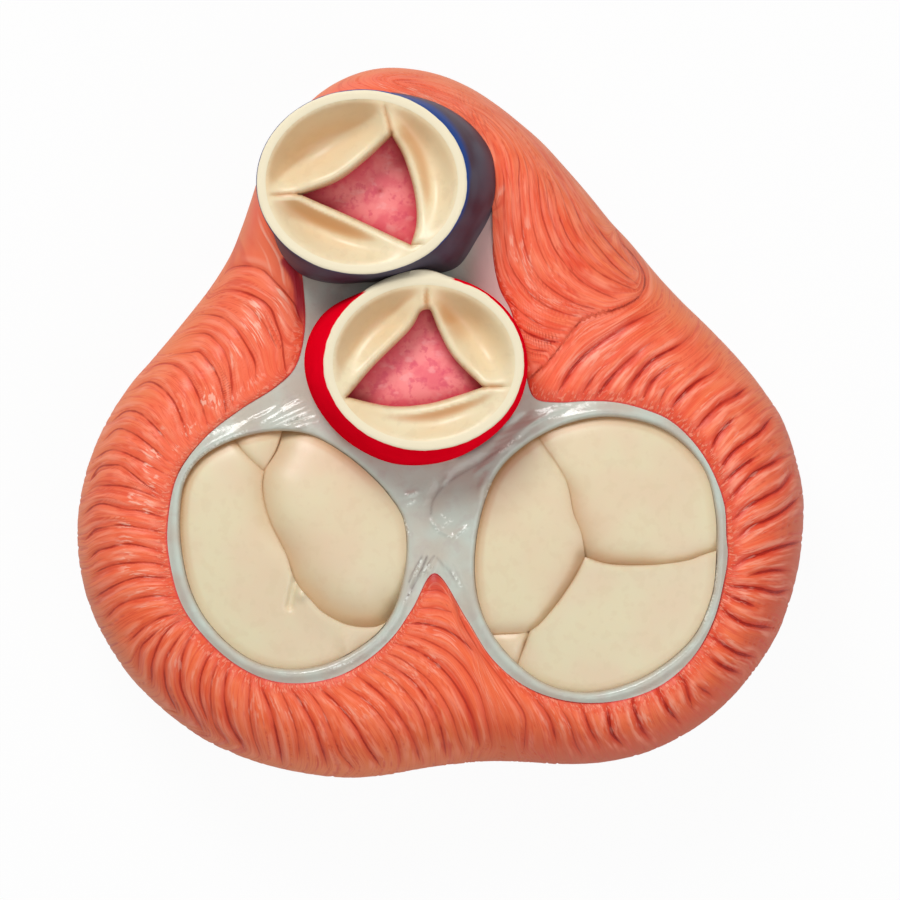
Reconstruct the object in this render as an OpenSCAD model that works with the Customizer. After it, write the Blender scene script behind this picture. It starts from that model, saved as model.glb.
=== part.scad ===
// Life-size heart base section: the ventricles cut just below the valve plane, seen with
// the chambers contracting, so the two large valves are shut and the two vessel valves open.
// Millimetres. +Z points out of the valve plane, +Y towards the front of the chest (the
// pulmonary trunk), and the origin is the middle of the flat underside.

/* [Body] */
// Width of the muscle wall, side to side
body_w = 101.5; // [84:0.5:122]
// Depth of the muscle wall, front to back
body_d = 98.7; // [82:0.5:119]
// Height of the muscle wall's crown above the table
body_h = 28.5; // [27:0.5:36]
// Height at which the wall bulges out furthest
bulge_h = 15; // [12:0.5:17]
// How far the foot of the wall draws in under the bulge
foot_inset = 4.5; // [2:0.5:6]
// How far the crown rolls in from the bulge
crown_inset = 11; // [9:0.5:11]
// Thickness of the hollow casting's side wall
wall = 4; // [3:0.5:5]
// Thickness of the deck that carries the valves
deck_t = 5; // [4:0.5:6]

/* [Back plate] */
// Thickness of the plate that closes the underside
plate_t = 3; // [2:0.5:4]
// Width of the casting's rim that shows round the plate
rim_w = 1.5; // [1:0.25:2]
// Width of the ledge that the plate is glued to
ledge_w = 2; // [1.5:0.25:3]

/* [Fibrous skeleton] */
// Depth of the seat in the crown, down to the deck
seat_d = 4.5; // [3.5:0.25:5]
// Thickness of the grey plate between the valves
web_t = 4; // [3:0.25:5]
// Height of the rounded lip round each large valve, above the plate
lip_h = 1.2; // [0.6:0.1:2]
// Width of the lip round each large valve
lip_w = 1.5; // [1:0.1:2]

/* [Large valves] */
// Rise of a shut leaflet's crown above the plate
leaflet_rise = 0.6; // [0:0.1:1]
// Radius of the dome that every leaflet's top follows
leaflet_dome_r = 46; // [40:1:70]

/* [Vessels] */
// Height of the pulmonary rim above the plate
pulmonary_h = 12; // [10:0.5:14]
// Half width and half depth of the pulmonary rim
pulmonary_rim = [14.5, 12.7]; // [12:0.1:17]
// Height of the aortic rim above the plate
aortic_h = 10; // [9:0.5:12]
// Half width and half depth of the aortic rim
aortic_rim = [13.8, 12.1]; // [11:0.1:16]
// Thickness of a vessel's wall
vessel_wall = 1.7; // [1.2:0.1:2.2]
// Gap between the two vessels' rims
rim_gap = 1; // [0.6:0.1:2]
// Gap between the two vessels at the plate
foot_gap = 0.4; // [0.3:0.1:1]
// How deep a vessel's foot plugs into what carries it
socket_d = 2; // [1:0.25:2.5]

/* [Vessel valves] */
// Height of the floor inside each vessel, above the plate
floor_rise = 2; // [1.5:0.25:3]
// How far the free edges of the cusps stay below the vessel's rim
cusp_drop = 2.2; // [1:0.1:3]
// Thickness of a cusp at its free edge
cusp_t = 1.2; // [0.9:0.1:1.6]
// Thickness left under the pocket behind a cusp
pocket_floor = 1; // [0.8:0.1:1.5]

/* [Fits] */
// Gap all round a piece that drops into a seat or a socket
fit = 0.12; // [0.05:0.01:0.2]

/* [Hidden] */

// Colours
muscle_red = "#E8735A";
tissue_grey = "#B9BDB8";
valve_cream = "#E8D8B8";
aorta_red = "#D8101E";
trunk_blue = "#3E4266";
lumen_pink = "#DE6A74";
plate_buff = "#D9CDB4";

// The outlines below are drawn at this size, and stretch with body_w and body_d.
drawn = [101.5, 98.7];
stretch = [body_w / drawn[0], body_d / drawn[1]];

// Heights above the table: the deck's top and the grey plate's top
deck_z = body_h - seat_d;
plate_top = deck_z + web_t;
// Past the model's size, for cuts that run right through it
big = 300;
// Overlap that keeps two joined cuts from sharing a face
hair = 0.01;
// Points along each stretch of a fine curve, and of a coarse one
fine_steps = 4;
coarse_steps = 3;

// The muscle wall's silhouette from above, from the right, counter-clockwise
silhouette = stretched([
    [49.2, -3], [45.2, 4.5], [38, 13], [30, 21], [23.8, 28.1], [17, 36], [9, 43.6], [0, 48.3],
    [-8.8, 49.4], [-17.5, 46], [-23.3, 39.5], [-26.3, 31], [-29.6, 23], [-36, 14],
    [-43.6, 5], [-48.8, -4.8], [-50.8, -14], [-49.8, -23.5], [-46, -32], [-38, -40.8],
    [-28.5, -46.3], [-18, -49.3], [-8, -49.2], [4, -47.5], [16, -47.7], [27, -46.6],
    [37.2, -41.8], [45, -33], [49.4, -23.5], [50.8, -13]
]);

// The opening of the mitral valve, and of the tricuspid valve
mitral_opening = stretched([
    [-4.7, -18.1], [-6.2, -11.3], [-10.3, -5.2], [-16.2, -1.7], [-23.2, -0.9], [-30.2, -3],
    [-35, -7.3], [-36.5, -13], [-36.3, -19.3], [-34.2, -26], [-29, -31.7], [-21.8, -34.8],
    [-14.1, -33.7], [-8.3, -29.2], [-5.4, -23.8]
]);
tricuspid_opening = stretched([
    [38.6, -18.7], [38.1, -11.6], [35.6, -5.3], [30.6, -0.6], [23.7, 1.3], [16.7, 0.2],
    [10.4, -3.4], [6.2, -9.4], [4.4, -16.5], [4.8, -24], [7.6, -31], [12.9, -35.7],
    [20.2, -37.6], [27.9, -36.6], [34, -32], [37.6, -25.5]
]);

// The grey web that ties the four valves together, apart from its two lips
web_outline = stretched([
    [24, 2.6], [17.4, 2.8], [12.6, 2.4], [10.8, 8], [9.6, 15.5], [7.4, 19.5], [6.6, 23],
    [6.6, 27], [2, 30], [-7, 30], [-15, 27], [-19, 21.8], [-18.9, 16.8], [-19.3, 11.6],
    [-20.2, 7], [-23, 4.6], [-28, 1.8], [-33, -3], [-24, -12], [-12, -22], [-6, -28.6],
    [-2.8, -24], [-1.4, -22], [-0.1, -21.2], [1.2, -22], [2.4, -24.8], [6, -31],
    [14, -22], [24, -10]
]);

// Where the shut leaflets meet, each line running past the opening at both ends
mitral_line = stretched([
    [-20, 8], [-24.6, -2.6], [-25, -7.4], [-24.8, -10.4], [-23.7, -14.3], [-21.4, -18.5],
    [-20.1, -22], [-18, -24.8], [-15.6, -26.9], [-12.7, -28.4], [-8.9, -28.6], [-3, -27.6],
    [10, -25]
]);
septal_line = stretched([
    [10, 12], [13.6, -1], [17.4, -7.8], [19, -13], [20.2, -18.8]
]);
septal_lower_line = stretched([
    [20.2, -18.8], [18.5, -22.2], [15.6, -26.2], [12, -29.3], [8, -30], [4.5, -29.6], [-6, -28]
]);
anterior_line = stretched([
    [20.2, -18.8], [24, -19.9], [29.3, -20.1], [34.2, -19.4], [37, -18.4], [50, -15]
]);
mitral_wedge = stretched([[-29, 1], [-26.7, -5.3], [-24.8, -7.8], [-22.9, -3.8], [-22.6, 3]]);
tricuspid_wedge = stretched([[4, -29.3], [8, -30], [12.2, -29.2], [11, -33.2], [7, -36]]);

// Each dome: the plan position of its crown, and its height against the others
mitral_anterior_dome = dome([-15, -13.5], 0.3);
mitral_posterior_dome = dome([-27.5, -20], 0);
mitral_wedge_dome = dome([-25, -4], -1.2);
tricuspid_anterior_dome = dome([25.5, -9.5], 0.1);
tricuspid_septal_dome = dome([10.5, -16.5], 0.2);
tricuspid_posterior_dome = dome([22.5, -28.5], 0.1);
tricuspid_wedge_dome = dome([9, -31.5], -1);

// The vessels. Each leans, so its rim lies to one side of its waist, which is its oval at
// the plate. The aorta stands on the mitral valve's shoulder and grows away from it, and the
// pulmonary trunk stands beside the aorta, in the directions given here.
mitral_shoulder = stretched([[-8.9, -2.48]])[0];
aortic_flare = [1.5, 0.5];
pulmonary_flare = [1.1, 0.2];
aortic_waist = aortic_rim + aortic_flare;
pulmonary_waist = pulmonary_rim + pulmonary_flare;
aortic_rim_at = beside(mitral_shoulder, aortic_rim, 0, 60);
aortic_waist_at = aortic_rim_at + [-1.2, -1.2];
pulmonary_rim_at = beside(aortic_rim_at, aortic_rim + pulmonary_rim, rim_gap, 107);
pulmonary_waist_at = beside(aortic_waist_at, aortic_waist + pulmonary_waist, foot_gap, 99);

// Each vessel: its waist and its rim as [centre, half sizes, height], then its foot's height
aortic_vessel = [
    [aortic_waist_at, aortic_waist, plate_top],
    [aortic_rim_at, aortic_rim, plate_top + aortic_h],
    plate_top - socket_d
];
pulmonary_vessel = [
    [pulmonary_waist_at, pulmonary_waist, plate_top],
    [pulmonary_rim_at, pulmonary_rim, plate_top + pulmonary_h],
    deck_z - socket_d
];

// The corners of each open valve's triangle, as shares of its rim's half sizes, and how far
// each side bows out from the straight line between them, in millimetres
aortic_corners = [[0, 0.6], [-0.77, -0.38], [0.57, -0.26]];
aortic_bow = [-0.3, 1.8, -1.1];
pulmonary_corners = [[0.28, 0.53], [-0.6, -0.12], [0.46, -0.67]];
pulmonary_bow = [-1.2, 0, 1.75];
// The directions in which the cusps part at the wall
aortic_parting = [87, 204, 346];
pulmonary_parting = [73, 188, 321];

function stretched(points) = [for (p = points) [p[0] * stretch[0], p[1] * stretch[1]]];

function dome(at, rise) = [at[0] * stretch[0], at[1] * stretch[1], rise];

// The centre of an oval that stands gap away from another, whose half sizes add up to reach
function beside(at, reach, gap, angle) =
    at + [(reach[0] + gap) * cos(angle), (reach[1] + gap) * sin(angle)];

// ---- Outlines -------------------------------------------------------------------------

// One point of the Catmull-Rom curve between b and c
function bend(a, b, c, d, t) =
    0.5 * (2 * b + (c - a) * t + (2 * a - 5 * b + 4 * c - d) * t * t
           + (3 * b - a - 3 * c + d) * t * t * t);

// A smooth closed loop through the points
function smooth_loop(points, steps = fine_steps) =
    let (n = len(points))
    [for (i = [0:n - 1], k = [0:steps - 1])
        bend(points[(i + n - 1) % n], points[i], points[(i + 1) % n], points[(i + 2) % n],
             k / steps)];

// A smooth open line through the points
function smooth_line(points, steps = fine_steps) =
    let (n = len(points))
    [for (i = [0:n - 2], k = [0:(i == n - 2 ? steps : steps - 1)])
        bend(points[max(i - 1, 0)], points[i], points[i + 1], points[min(i + 2, n - 1)],
             k / steps)];

function unit(v) = v / norm(v);

// The loop moved outwards by d along its own normals, or inwards where d is negative
function grown(loop, d) =
    let (n = len(loop))
    [for (i = [0:n - 1])
        let (along = unit(loop[(i + 1) % n] - loop[(i + n - 1) % n]))
        loop[i] + d * [along[1], -along[0]]];

function at_height(loop, z) = [for (p = loop) [p[0], p[1], z]];

function middle(loop) = [for (axis = [0:len(loop[0]) - 1])
    sum([for (p = loop) p[axis]]) / len(loop)];

function sum(values, i = 0) = i < len(values) ? values[i] + sum(values, i + 1) : 0;

// A closed solid through rings of equally many points, listed from the lowest up
module loft(rings) {
    n = len(rings[0]);
    top = (len(rings) - 1) * n;
    low_hub = len(rings) * n;
    sides = [for (r = [0:len(rings) - 2], i = [0:n - 1])
        let (a = r * n + i, b = r * n + (i + 1) % n)
        each [[a, a + n, b], [b, a + n, b + n]]];
    floor_faces = [for (i = [0:n - 1]) [low_hub, i, (i + 1) % n]];
    roof_faces = [for (i = [0:n - 1]) [low_hub + 1, top + (i + 1) % n, top + i]];
    polyhedron(
        concat([for (ring = rings) each ring], [middle(rings[0]), middle(rings[len(rings) - 1])]),
        concat(sides, floor_faces, roof_faces),
        convexity = 6
    );
}

// ---- The muscle wall --------------------------------------------------------------------

silhouette_loop = smooth_loop(silhouette, coarse_steps);
crown_rise = body_h - bulge_h;

// How far the wall lies inside the silhouette at height z
function wall_inset(z) = z < bulge_h
    ? foot_inset * pow((bulge_h - z) / bulge_h, 2)
    : crown_inset * (1 - sqrt(max(0, 1 - pow((z - bulge_h) / crown_rise, 2))));

module wall_solid() {
    foot_levels = [for (k = [0:3]) k * bulge_h / 4];
    crown_levels = [for (a = [0:15:90]) bulge_h + crown_rise * sin(a)];
    loft([for (z = concat(foot_levels, crown_levels))
        at_height(grown(silhouette_loop, -wall_inset(z)), z)]);
}

plate_inset = foot_inset + rim_w;

module hollow() {
    cavity_top = deck_z - deck_t;
    levels = [for (k = [1:4]) plate_t + ledge_w + k * (cavity_top - plate_t - ledge_w) / 4];
    ledge_loop = grown(silhouette_loop, -(plate_inset + ledge_w));
    loft(concat(
        [at_height(ledge_loop, plate_t - hair), at_height(ledge_loop, plate_t + ledge_w)],
        [for (z = levels) at_height(grown(silhouette_loop, -(wall_inset(z) + wall)), z)]
    ));
}

module plate_prism(gap, z0, z1) {
    translate([0, 0, z0]) linear_extrude(z1 - z0)
        polygon(grown(silhouette_loop, gap - plate_inset));
}

module ventricular_wall() {
    color(muscle_red) difference() {
        wall_solid();
        hollow();
        plate_prism(fit, -1, plate_t);
        translate([0, 0, deck_z]) linear_extrude(big) web_shape(fit);
        vessel_socket(pulmonary_vessel);
        vessel_socket(aortic_vessel);
    }
}

module back_plate() {
    color(plate_buff) plate_prism(0, 0, plate_t);
}

// ---- The fibrous skeleton ---------------------------------------------------------------

mitral_loop = smooth_loop(mitral_opening);
tricuspid_loop = smooth_loop(tricuspid_opening);
web_loop = smooth_loop(web_outline, coarse_steps);

module web_shape(gap) {
    polygon(grown(mitral_loop, lip_w + gap));
    polygon(grown(tricuspid_loop, lip_w + gap));
    polygon(grown(web_loop, gap));
}

// The rounded lip round an opening: a step that narrows towards its top
module lip(loop) {
    edge = lip_w / 4;
    for (step = [0, 1]) {
        translate([0, 0, step * lip_h / 2]) linear_extrude(lip_h / 2)
            difference() {
                polygon(grown(loop, lip_w - step * edge));
                polygon(grown(loop, step * edge));
            }
    }
}

module fibrous_skeleton() {
    color(tissue_grey) difference() {
        union() {
            translate([0, 0, deck_z]) linear_extrude(web_t) difference() {
                web_shape(0);
                polygon(mitral_loop);
                polygon(tricuspid_loop);
            }
            translate([0, 0, plate_top]) lip(mitral_loop);
            translate([0, 0, plate_top]) lip(tricuspid_loop);
        }
        vessel_socket(pulmonary_vessel);
        vessel_socket(aortic_vessel);
    }
}

// ---- The shut valves ----------------------------------------------------------------------

// A leaflet: the part of the opening inside the patch, domed on top
module leaflet(opening, crown) {
    top = plate_top + leaflet_rise + crown[2];
    color(valve_cream) intersection() {
        translate([0, 0, deck_z]) linear_extrude(web_t + lip_h) intersection() {
            polygon(grown(opening, -fit));
            children();
        }
        translate([crown[0], crown[1], top - leaflet_dome_r]) sphere(leaflet_dome_r, $fn = 90);
    }
}

// The plan area to the left of a line, which runs front to back
module left_of(line) {
    polygon(concat(line, [[-big, line[len(line) - 1][1] - big], [-big, line[0][1] + big]]));
}

module mitral_anterior_leaflet() {
    leaflet(mitral_loop, mitral_anterior_dome) difference() {
        square(big, center = true);
        left_of(smooth_line(mitral_line));
        polygon(mitral_wedge);
    }
}

module mitral_posterior_leaflet() {
    leaflet(mitral_loop, mitral_posterior_dome) difference() {
        left_of(smooth_line(mitral_line));
        polygon(mitral_wedge);
    }
}

module mitral_commissural_cusp() {
    leaflet(mitral_loop, mitral_wedge_dome) polygon(mitral_wedge);
}

septal_border = concat(smooth_line(septal_line), smooth_line(septal_lower_line));

module tricuspid_septal_leaflet() {
    leaflet(tricuspid_loop, tricuspid_septal_dome) difference() {
        left_of(septal_border);
        polygon(tricuspid_wedge);
    }
}

// The plan area above the line where the anterior and posterior leaflets meet
module above_anterior_line() {
    line = smooth_line(anterior_line);
    from = [-big, line[0][1]];
    to = [big, line[len(line) - 1][1]];
    polygon(concat([from], line, [to, [big, big], [-big, big]]));
}

module tricuspid_anterior_leaflet() {
    leaflet(tricuspid_loop, tricuspid_anterior_dome) difference() {
        above_anterior_line();
        left_of(septal_border);
    }
}

module tricuspid_posterior_leaflet() {
    leaflet(tricuspid_loop, tricuspid_posterior_dome) difference() {
        square(big, center = true);
        above_anterior_line();
        left_of(septal_border);
        polygon(tricuspid_wedge);
    }
}

module tricuspid_commissural_cusp() {
    leaflet(tricuspid_loop, tricuspid_wedge_dome) polygon(tricuspid_wedge);
}

// ---- The vessels --------------------------------------------------------------------------

vessel_sides = 48;
floor_z = plate_top + floor_rise;

// The vessel's outside at height z, as a ring moved outwards by gap
function vessel_ring(v, z, gap) =
    let (
        up = (z - v[0][2]) / (v[1][2] - v[0][2]),
        at = v[0][0] + (v[1][0] - v[0][0]) * up,
        half = v[0][1] + (v[1][1] - v[0][1]) * up + [gap, gap]
    )
    [for (i = [0:vessel_sides - 1])
        let (a = 360 * i / vessel_sides)
        [at[0] + half[0] * cos(a), at[1] + half[1] * sin(a), z]];

function rim_z(v) = v[1][2];

function foot_z(v) = v[2];

module vessel_solid(v, z0, z1, gap) {
    loft([vessel_ring(v, z0, gap), vessel_ring(v, z1, gap)]);
}

// The seat that a vessel's foot plugs into
module vessel_socket(v) {
    vessel_solid(v, foot_z(v), rim_z(v) + 1, fit);
}

module vessel_root(v) {
    difference() {
        vessel_solid(v, foot_z(v), rim_z(v), 0);
        vessel_solid(v, foot_z(v) - 1, rim_z(v) + 1, -vessel_wall);
    }
}

// The plug whose top is the floor inside the vessel
module vessel_floor(v) {
    color(lumen_pink) vessel_solid(v, foot_z(v), floor_z, -(vessel_wall + fit));
}

module aortic_root() {
    color(aorta_red) vessel_root(aortic_vessel);
}

module aortic_floor() {
    vessel_floor(aortic_vessel);
}

module pulmonary_root() {
    color(trunk_blue) vessel_root(pulmonary_vessel);
}

module pulmonary_floor() {
    vessel_floor(pulmonary_vessel);
}

// ---- The open valves -----------------------------------------------------------------------

edge_steps = 6;
arc_steps = 12;

// One side of the open triangle, from corner to corner, bowed outwards by bow
function open_side(from, to, bow) =
    let (along = unit(to - from), out = [along[1], -along[0]])
    [for (k = [0:edge_steps])
        from + (to - from) * k / edge_steps + out * bow * sin(180 * k / edge_steps)];

// The wall's arc across a cusp, moved outwards by gap
function wall_arc(v, parting, i, gap) =
    let (
        from = parting[i],
        next = parting[(i + 1) % 3],
        to = next < from ? next + 360 : next,
        half = v[1][1] + [gap, gap]
    )
    [for (k = [0:arc_steps])
        let (a = from + (to - from) * k / arc_steps)
        [half[0] * cos(a), half[1] * sin(a)]];

// A cusp in plan, from its rim's centre: the wall's arc, then back along its free edge
function cusp_patch(v, corners, bow, parting, i, wall_gap) =
    let (
        half = v[1][1],
        at = [for (c = corners) [c[0] * half[0], c[1] * half[1]]],
        side = open_side(at[i], at[(i + 1) % 3], bow[i])
    )
    concat(wall_arc(v, parting, i, wall_gap), [for (k = [edge_steps:-1:0]) side[k]]);

// A loop drawn in towards its middle by a distance
function drawn_in(loop, d) =
    let (hub = middle(loop))
    [for (p = loop) p + unit(hub - p) * d];

// The pocket behind a cusp: a bowl that widens as it rises
bowl_angles = [20:23:89];

module pocket(outline, low, high) {
    hub = middle(outline);
    rings = [for (a = bowl_angles)
        at_height([for (p = outline) hub + sin(a) * (p - hub)],
                  high - (high - low) * cos(a) / cos(bowl_angles[0]))];
    loft(concat(rings, [at_height(outline, high + 1)]));
}

module cusp(v, corners, bow, parting, i) {
    high = rim_z(v) - cusp_drop;
    patch = cusp_patch(v, corners, bow, parting, i, 1);
    inside = cusp_patch(v, corners, bow, parting, i, -vessel_wall);
    color(valve_cream) difference() {
        intersection() {
            vessel_solid(v, floor_z, high, -(vessel_wall + fit));
            translate([v[1][0][0], v[1][0][1], floor_z - 1]) linear_extrude(high - floor_z + 2)
                polygon(patch);
        }
        translate([v[1][0][0], v[1][0][1], 0])
            pocket(drawn_in(inside, cusp_t), floor_z + pocket_floor, high);
    }
}

module aortic_left_cusp() {
    cusp(aortic_vessel, aortic_corners, aortic_bow, aortic_parting, 0);
}

module aortic_noncoronary_cusp() {
    cusp(aortic_vessel, aortic_corners, aortic_bow, aortic_parting, 1);
}

module aortic_right_cusp() {
    cusp(aortic_vessel, aortic_corners, aortic_bow, aortic_parting, 2);
}

module pulmonary_anterior_cusp() {
    cusp(pulmonary_vessel, pulmonary_corners, pulmonary_bow, pulmonary_parting, 0);
}

module pulmonary_left_cusp() {
    cusp(pulmonary_vessel, pulmonary_corners, pulmonary_bow, pulmonary_parting, 1);
}

module pulmonary_right_cusp() {
    cusp(pulmonary_vessel, pulmonary_corners, pulmonary_bow, pulmonary_parting, 2);
}

// ---- Choice of piece -------------------------------------------------------------------------

ventricular_wall();
back_plate();
fibrous_skeleton();
mitral_anterior_leaflet();
mitral_posterior_leaflet();
mitral_commissural_cusp();
tricuspid_anterior_leaflet();
tricuspid_septal_leaflet();
tricuspid_posterior_leaflet();
tricuspid_commissural_cusp();
aortic_root();
aortic_floor();
aortic_left_cusp();
aortic_right_cusp();
aortic_noncoronary_cusp();
pulmonary_root();
pulmonary_floor();
pulmonary_anterior_cusp();
pulmonary_left_cusp();
pulmonary_right_cusp();
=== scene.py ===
import math

import bpy
import numpy as np
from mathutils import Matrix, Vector, geometry, kdtree


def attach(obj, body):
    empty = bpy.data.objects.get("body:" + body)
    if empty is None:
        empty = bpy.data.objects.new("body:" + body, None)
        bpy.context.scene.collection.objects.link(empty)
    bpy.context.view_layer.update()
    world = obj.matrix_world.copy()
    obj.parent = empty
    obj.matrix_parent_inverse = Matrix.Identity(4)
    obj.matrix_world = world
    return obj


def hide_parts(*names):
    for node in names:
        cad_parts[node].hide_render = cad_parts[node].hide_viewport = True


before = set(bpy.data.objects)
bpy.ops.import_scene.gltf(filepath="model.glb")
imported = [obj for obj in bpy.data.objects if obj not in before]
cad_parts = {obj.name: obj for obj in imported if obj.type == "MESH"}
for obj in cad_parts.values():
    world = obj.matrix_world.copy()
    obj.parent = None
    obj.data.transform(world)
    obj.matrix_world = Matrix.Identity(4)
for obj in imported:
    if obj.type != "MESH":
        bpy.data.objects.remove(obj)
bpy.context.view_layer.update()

# All lengths below are in millimetres, in the model's own frame: +X right, +Y to the front of the
# chest, +Z up out of the valves. Meshes are stored in metres.
MM = 0.001

# ---------------------------------------------------------------- camera

EYE = (1.33, -3.85, 900.0)      # the camera stands here and looks straight down
EYE_TO_OUTLINE = 885.0          # from the camera down to the widest level of the wall
SENSOR = 36.0
PICTURE_WIDTH = 126.0           # what the picture spans at the widest level
PICTURE_PIXELS = 900
PIXEL = PICTURE_WIDTH / PICTURE_PIXELS
ORIGIN_PIXEL = (440.5, 422.5)   # where the model's origin shows

# ---------------------------------------------------------------- levels

WIDEST_Z = 15.0                 # where the wall stands out the most
CROWN_Z = 28.5                  # top of the muscle
GROOVE_Z = 27.0                 # about where the grooves lie
CREVICE_Z = 28.0                # where the muscle meets the grey web
DECK_Z = 24.0                   # flat inside of the wall, under the valves
PLATE_Z = 3.0                   # thickness of the plate in the underside
WEB_Z = 28.0
WEB_LIP = 0.65                  # the ring stands this much above the web
LEAFLET_Z = 27.85               # a leaflet's top at its ring
AORTIC_RIM_Z = 38.0
PULMONARY_RIM_Z = 40.0
LUMEN_FLOOR_Z = 32.5            # the pink floor between the open cusps
CUSP_FOOT_Z = 30.0              # flat underside of the cusps
ROOT_FOOT_Z = 24.6              # foot of both vessels, in their sockets

# ---------------------------------------------------------------- muscle wall sizes

CROWN_INSET = 11.0              # how far in from the outline the crown's round shoulder starts
FOOT_INSET = 4.5                # how far the outline pulls in at the table
FOOT_RIM = 1.5                  # width of the rim that rests on the table
SKIN_COLUMNS = 1200             # points round the wall
TOP_ROWS = 68                   # points from the web to the outline
SIDE_ROWS = 10                  # points from the outline to the table

# Where the muscle's skin starts at the web and ends at the outline, as seen from the camera:
# outer x, outer y, inner x, inner y, counter-clockwise from the top left.
SKIN_EDGES = [
    (-20.5, 42.5, -17.5, 42.2), (-23.3, 39.5, -21, 39.3), (-25.2, 35, -23, 35), (-26.5, 31, -23.5, 31),
    (-27.9, 27, -22.3, 27), (-29.6, 23, -19.8, 22.3), (-32.4, 18.6, -19.1, 18), (-36, 14, -19, 13),
    (-40, 9.2, -20.2, 8), (-43.6, 5, -23, 5), (-46.9, -0.3, -28, 1.8), (-49.2, -5.8, -32.8, -2),
    (-50.6, -12, -36.8, -7.5), (-50.7, -18, -38.2, -14.5), (-49.6, -24, -37.8, -20),
    (-47.2, -29.8, -36.2, -25.5), (-43.2, -35.8, -33, -30), (-38, -40.8, -29, -33.6),
    (-32.4, -44.7, -24.5, -35.9), (-26, -47.4, -19.7, -36.5), (-19.5, -49, -14.6, -35.6),
    (-13.2, -49.7, -10.2, -33.2), (-7.5, -49.3, -6.6, -29.9), (-2.6, -48.4, -3.9, -26),
    (2, -47.8, -0.7, -21.1), (6.5, -47.4, 3.6, -27.4), (11.5, -47.5, 7.2, -33), (17, -47.8, 12, -37),
    (23, -47.5, 18, -39), (29.2, -46, 24.5, -39), (35.5, -42.8, 30.5, -37), (40.6, -38.6, 35.2, -33),
    (44.8, -33.4, 38.2, -27.7), (47.8, -28, 39.7, -22), (50, -20.5, 40.2, -18.6),
    (50.8, -13, 40.0, -16), (50.3, -7.5, 39.7, -11.5), (48.2, -0.4, 38, -6.8), (45.2, 4.5, 35.5, -2.9),
    (41.6, 9, 32.2, 0.2), (37.5, 13.3, 28.6, 1.8), (33.5, 17.2, 24.6, 2.8), (30, 21, 20.5, 3),
    (26.5, 25.2, 16.5, 2.8), (23.8, 28.1, 13.2, 3.4), (20.8, 31.8, 12, 6.5), (17.6, 35.5, 11.1, 11),
    (14.3, 39.1, 9.9, 15.5), (11, 42, 8.2, 19), (7.8, 44.5, 7.3, 24), (4.2, 46.8, 7.7, 29),
    (0, 48.6, 7.2, 34.5), (-4.5, 49.5, 4.6, 40), (-8.8, 49.5, 0, 44), (-13, 48.3, -6, 45.3),
    (-16.9, 46, -12, 44.7),
]

# Grooves between the muscle bundles of the two ventricles, in pixels of the picture, in order
# counter-clockwise from the top left.
LEFT_GROOVES = [
    [(215, 285), (226, 269), (242, 265), (260, 269), (272, 279), (285, 292), (296, 306), (303, 324)],
    [(205, 300), (218, 290), (237, 290), (258, 298), (271, 309), (277, 324), (282, 341), (284, 357),
     (287, 375)],
    [(228, 298), (245, 304), (258, 316), (268, 330), (276, 346)],
    [(182, 324), (198, 314), (221, 317), (236, 330), (247, 346), (255, 362), (256, 373)],
    [(169, 344), (185, 335), (205, 333), (218, 343), (226, 355), (231, 373), (233, 403)],
    [(159, 359), (174, 354), (190, 352), (198, 351), (209, 362), (218, 376), (223, 392), (227, 418)],
    [(139, 378), (153, 365), (169, 363), (183, 371), (194, 386), (201, 402), (207, 421)],
    [(131, 389), (146, 381), (159, 386), (172, 399), (180, 414), (188, 437)],
    [(110, 421), (123, 411), (137, 412), (150, 422), (160, 432), (169, 443)],
    [(100, 442), (114, 429), (128, 431), (143, 440), (165, 458)],
    [(92, 459), (107, 450), (122, 452), (138, 459), (160, 471)],
    [(87, 483), (96, 468), (110, 465), (121, 466), (131, 473), (148, 486), (166, 498)],
    [(85, 493), (95, 486), (120, 486), (141, 491), (166, 501)],
    [(80, 516), (92, 506), (103, 504), (123, 509), (141, 511), (166, 518)],
    [(83, 541), (92, 531), (101, 528), (120, 525), (141, 528), (166, 533)],
    [(85, 562), (95, 552), (108, 548), (125, 544), (146, 547), (168, 554)],
    [(92, 574), (110, 566), (131, 563), (153, 563), (171, 567)],
    [(92, 599), (108, 589), (125, 581), (143, 577), (171, 578)],
    [(103, 620), (118, 606), (136, 599), (156, 596), (178, 597)],
    [(128, 642), (145, 627), (163, 617), (178, 614)],
    [(136, 674), (139, 650), (150, 638), (160, 629)],
    [(150, 686), (151, 664), (160, 641), (172, 626), (186, 617)],
    [(176, 714), (165, 690), (164, 664), (172, 648), (182, 634)],
    [(202, 734), (190, 712), (180, 690), (180, 668), (186, 646), (196, 630)],
]
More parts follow.
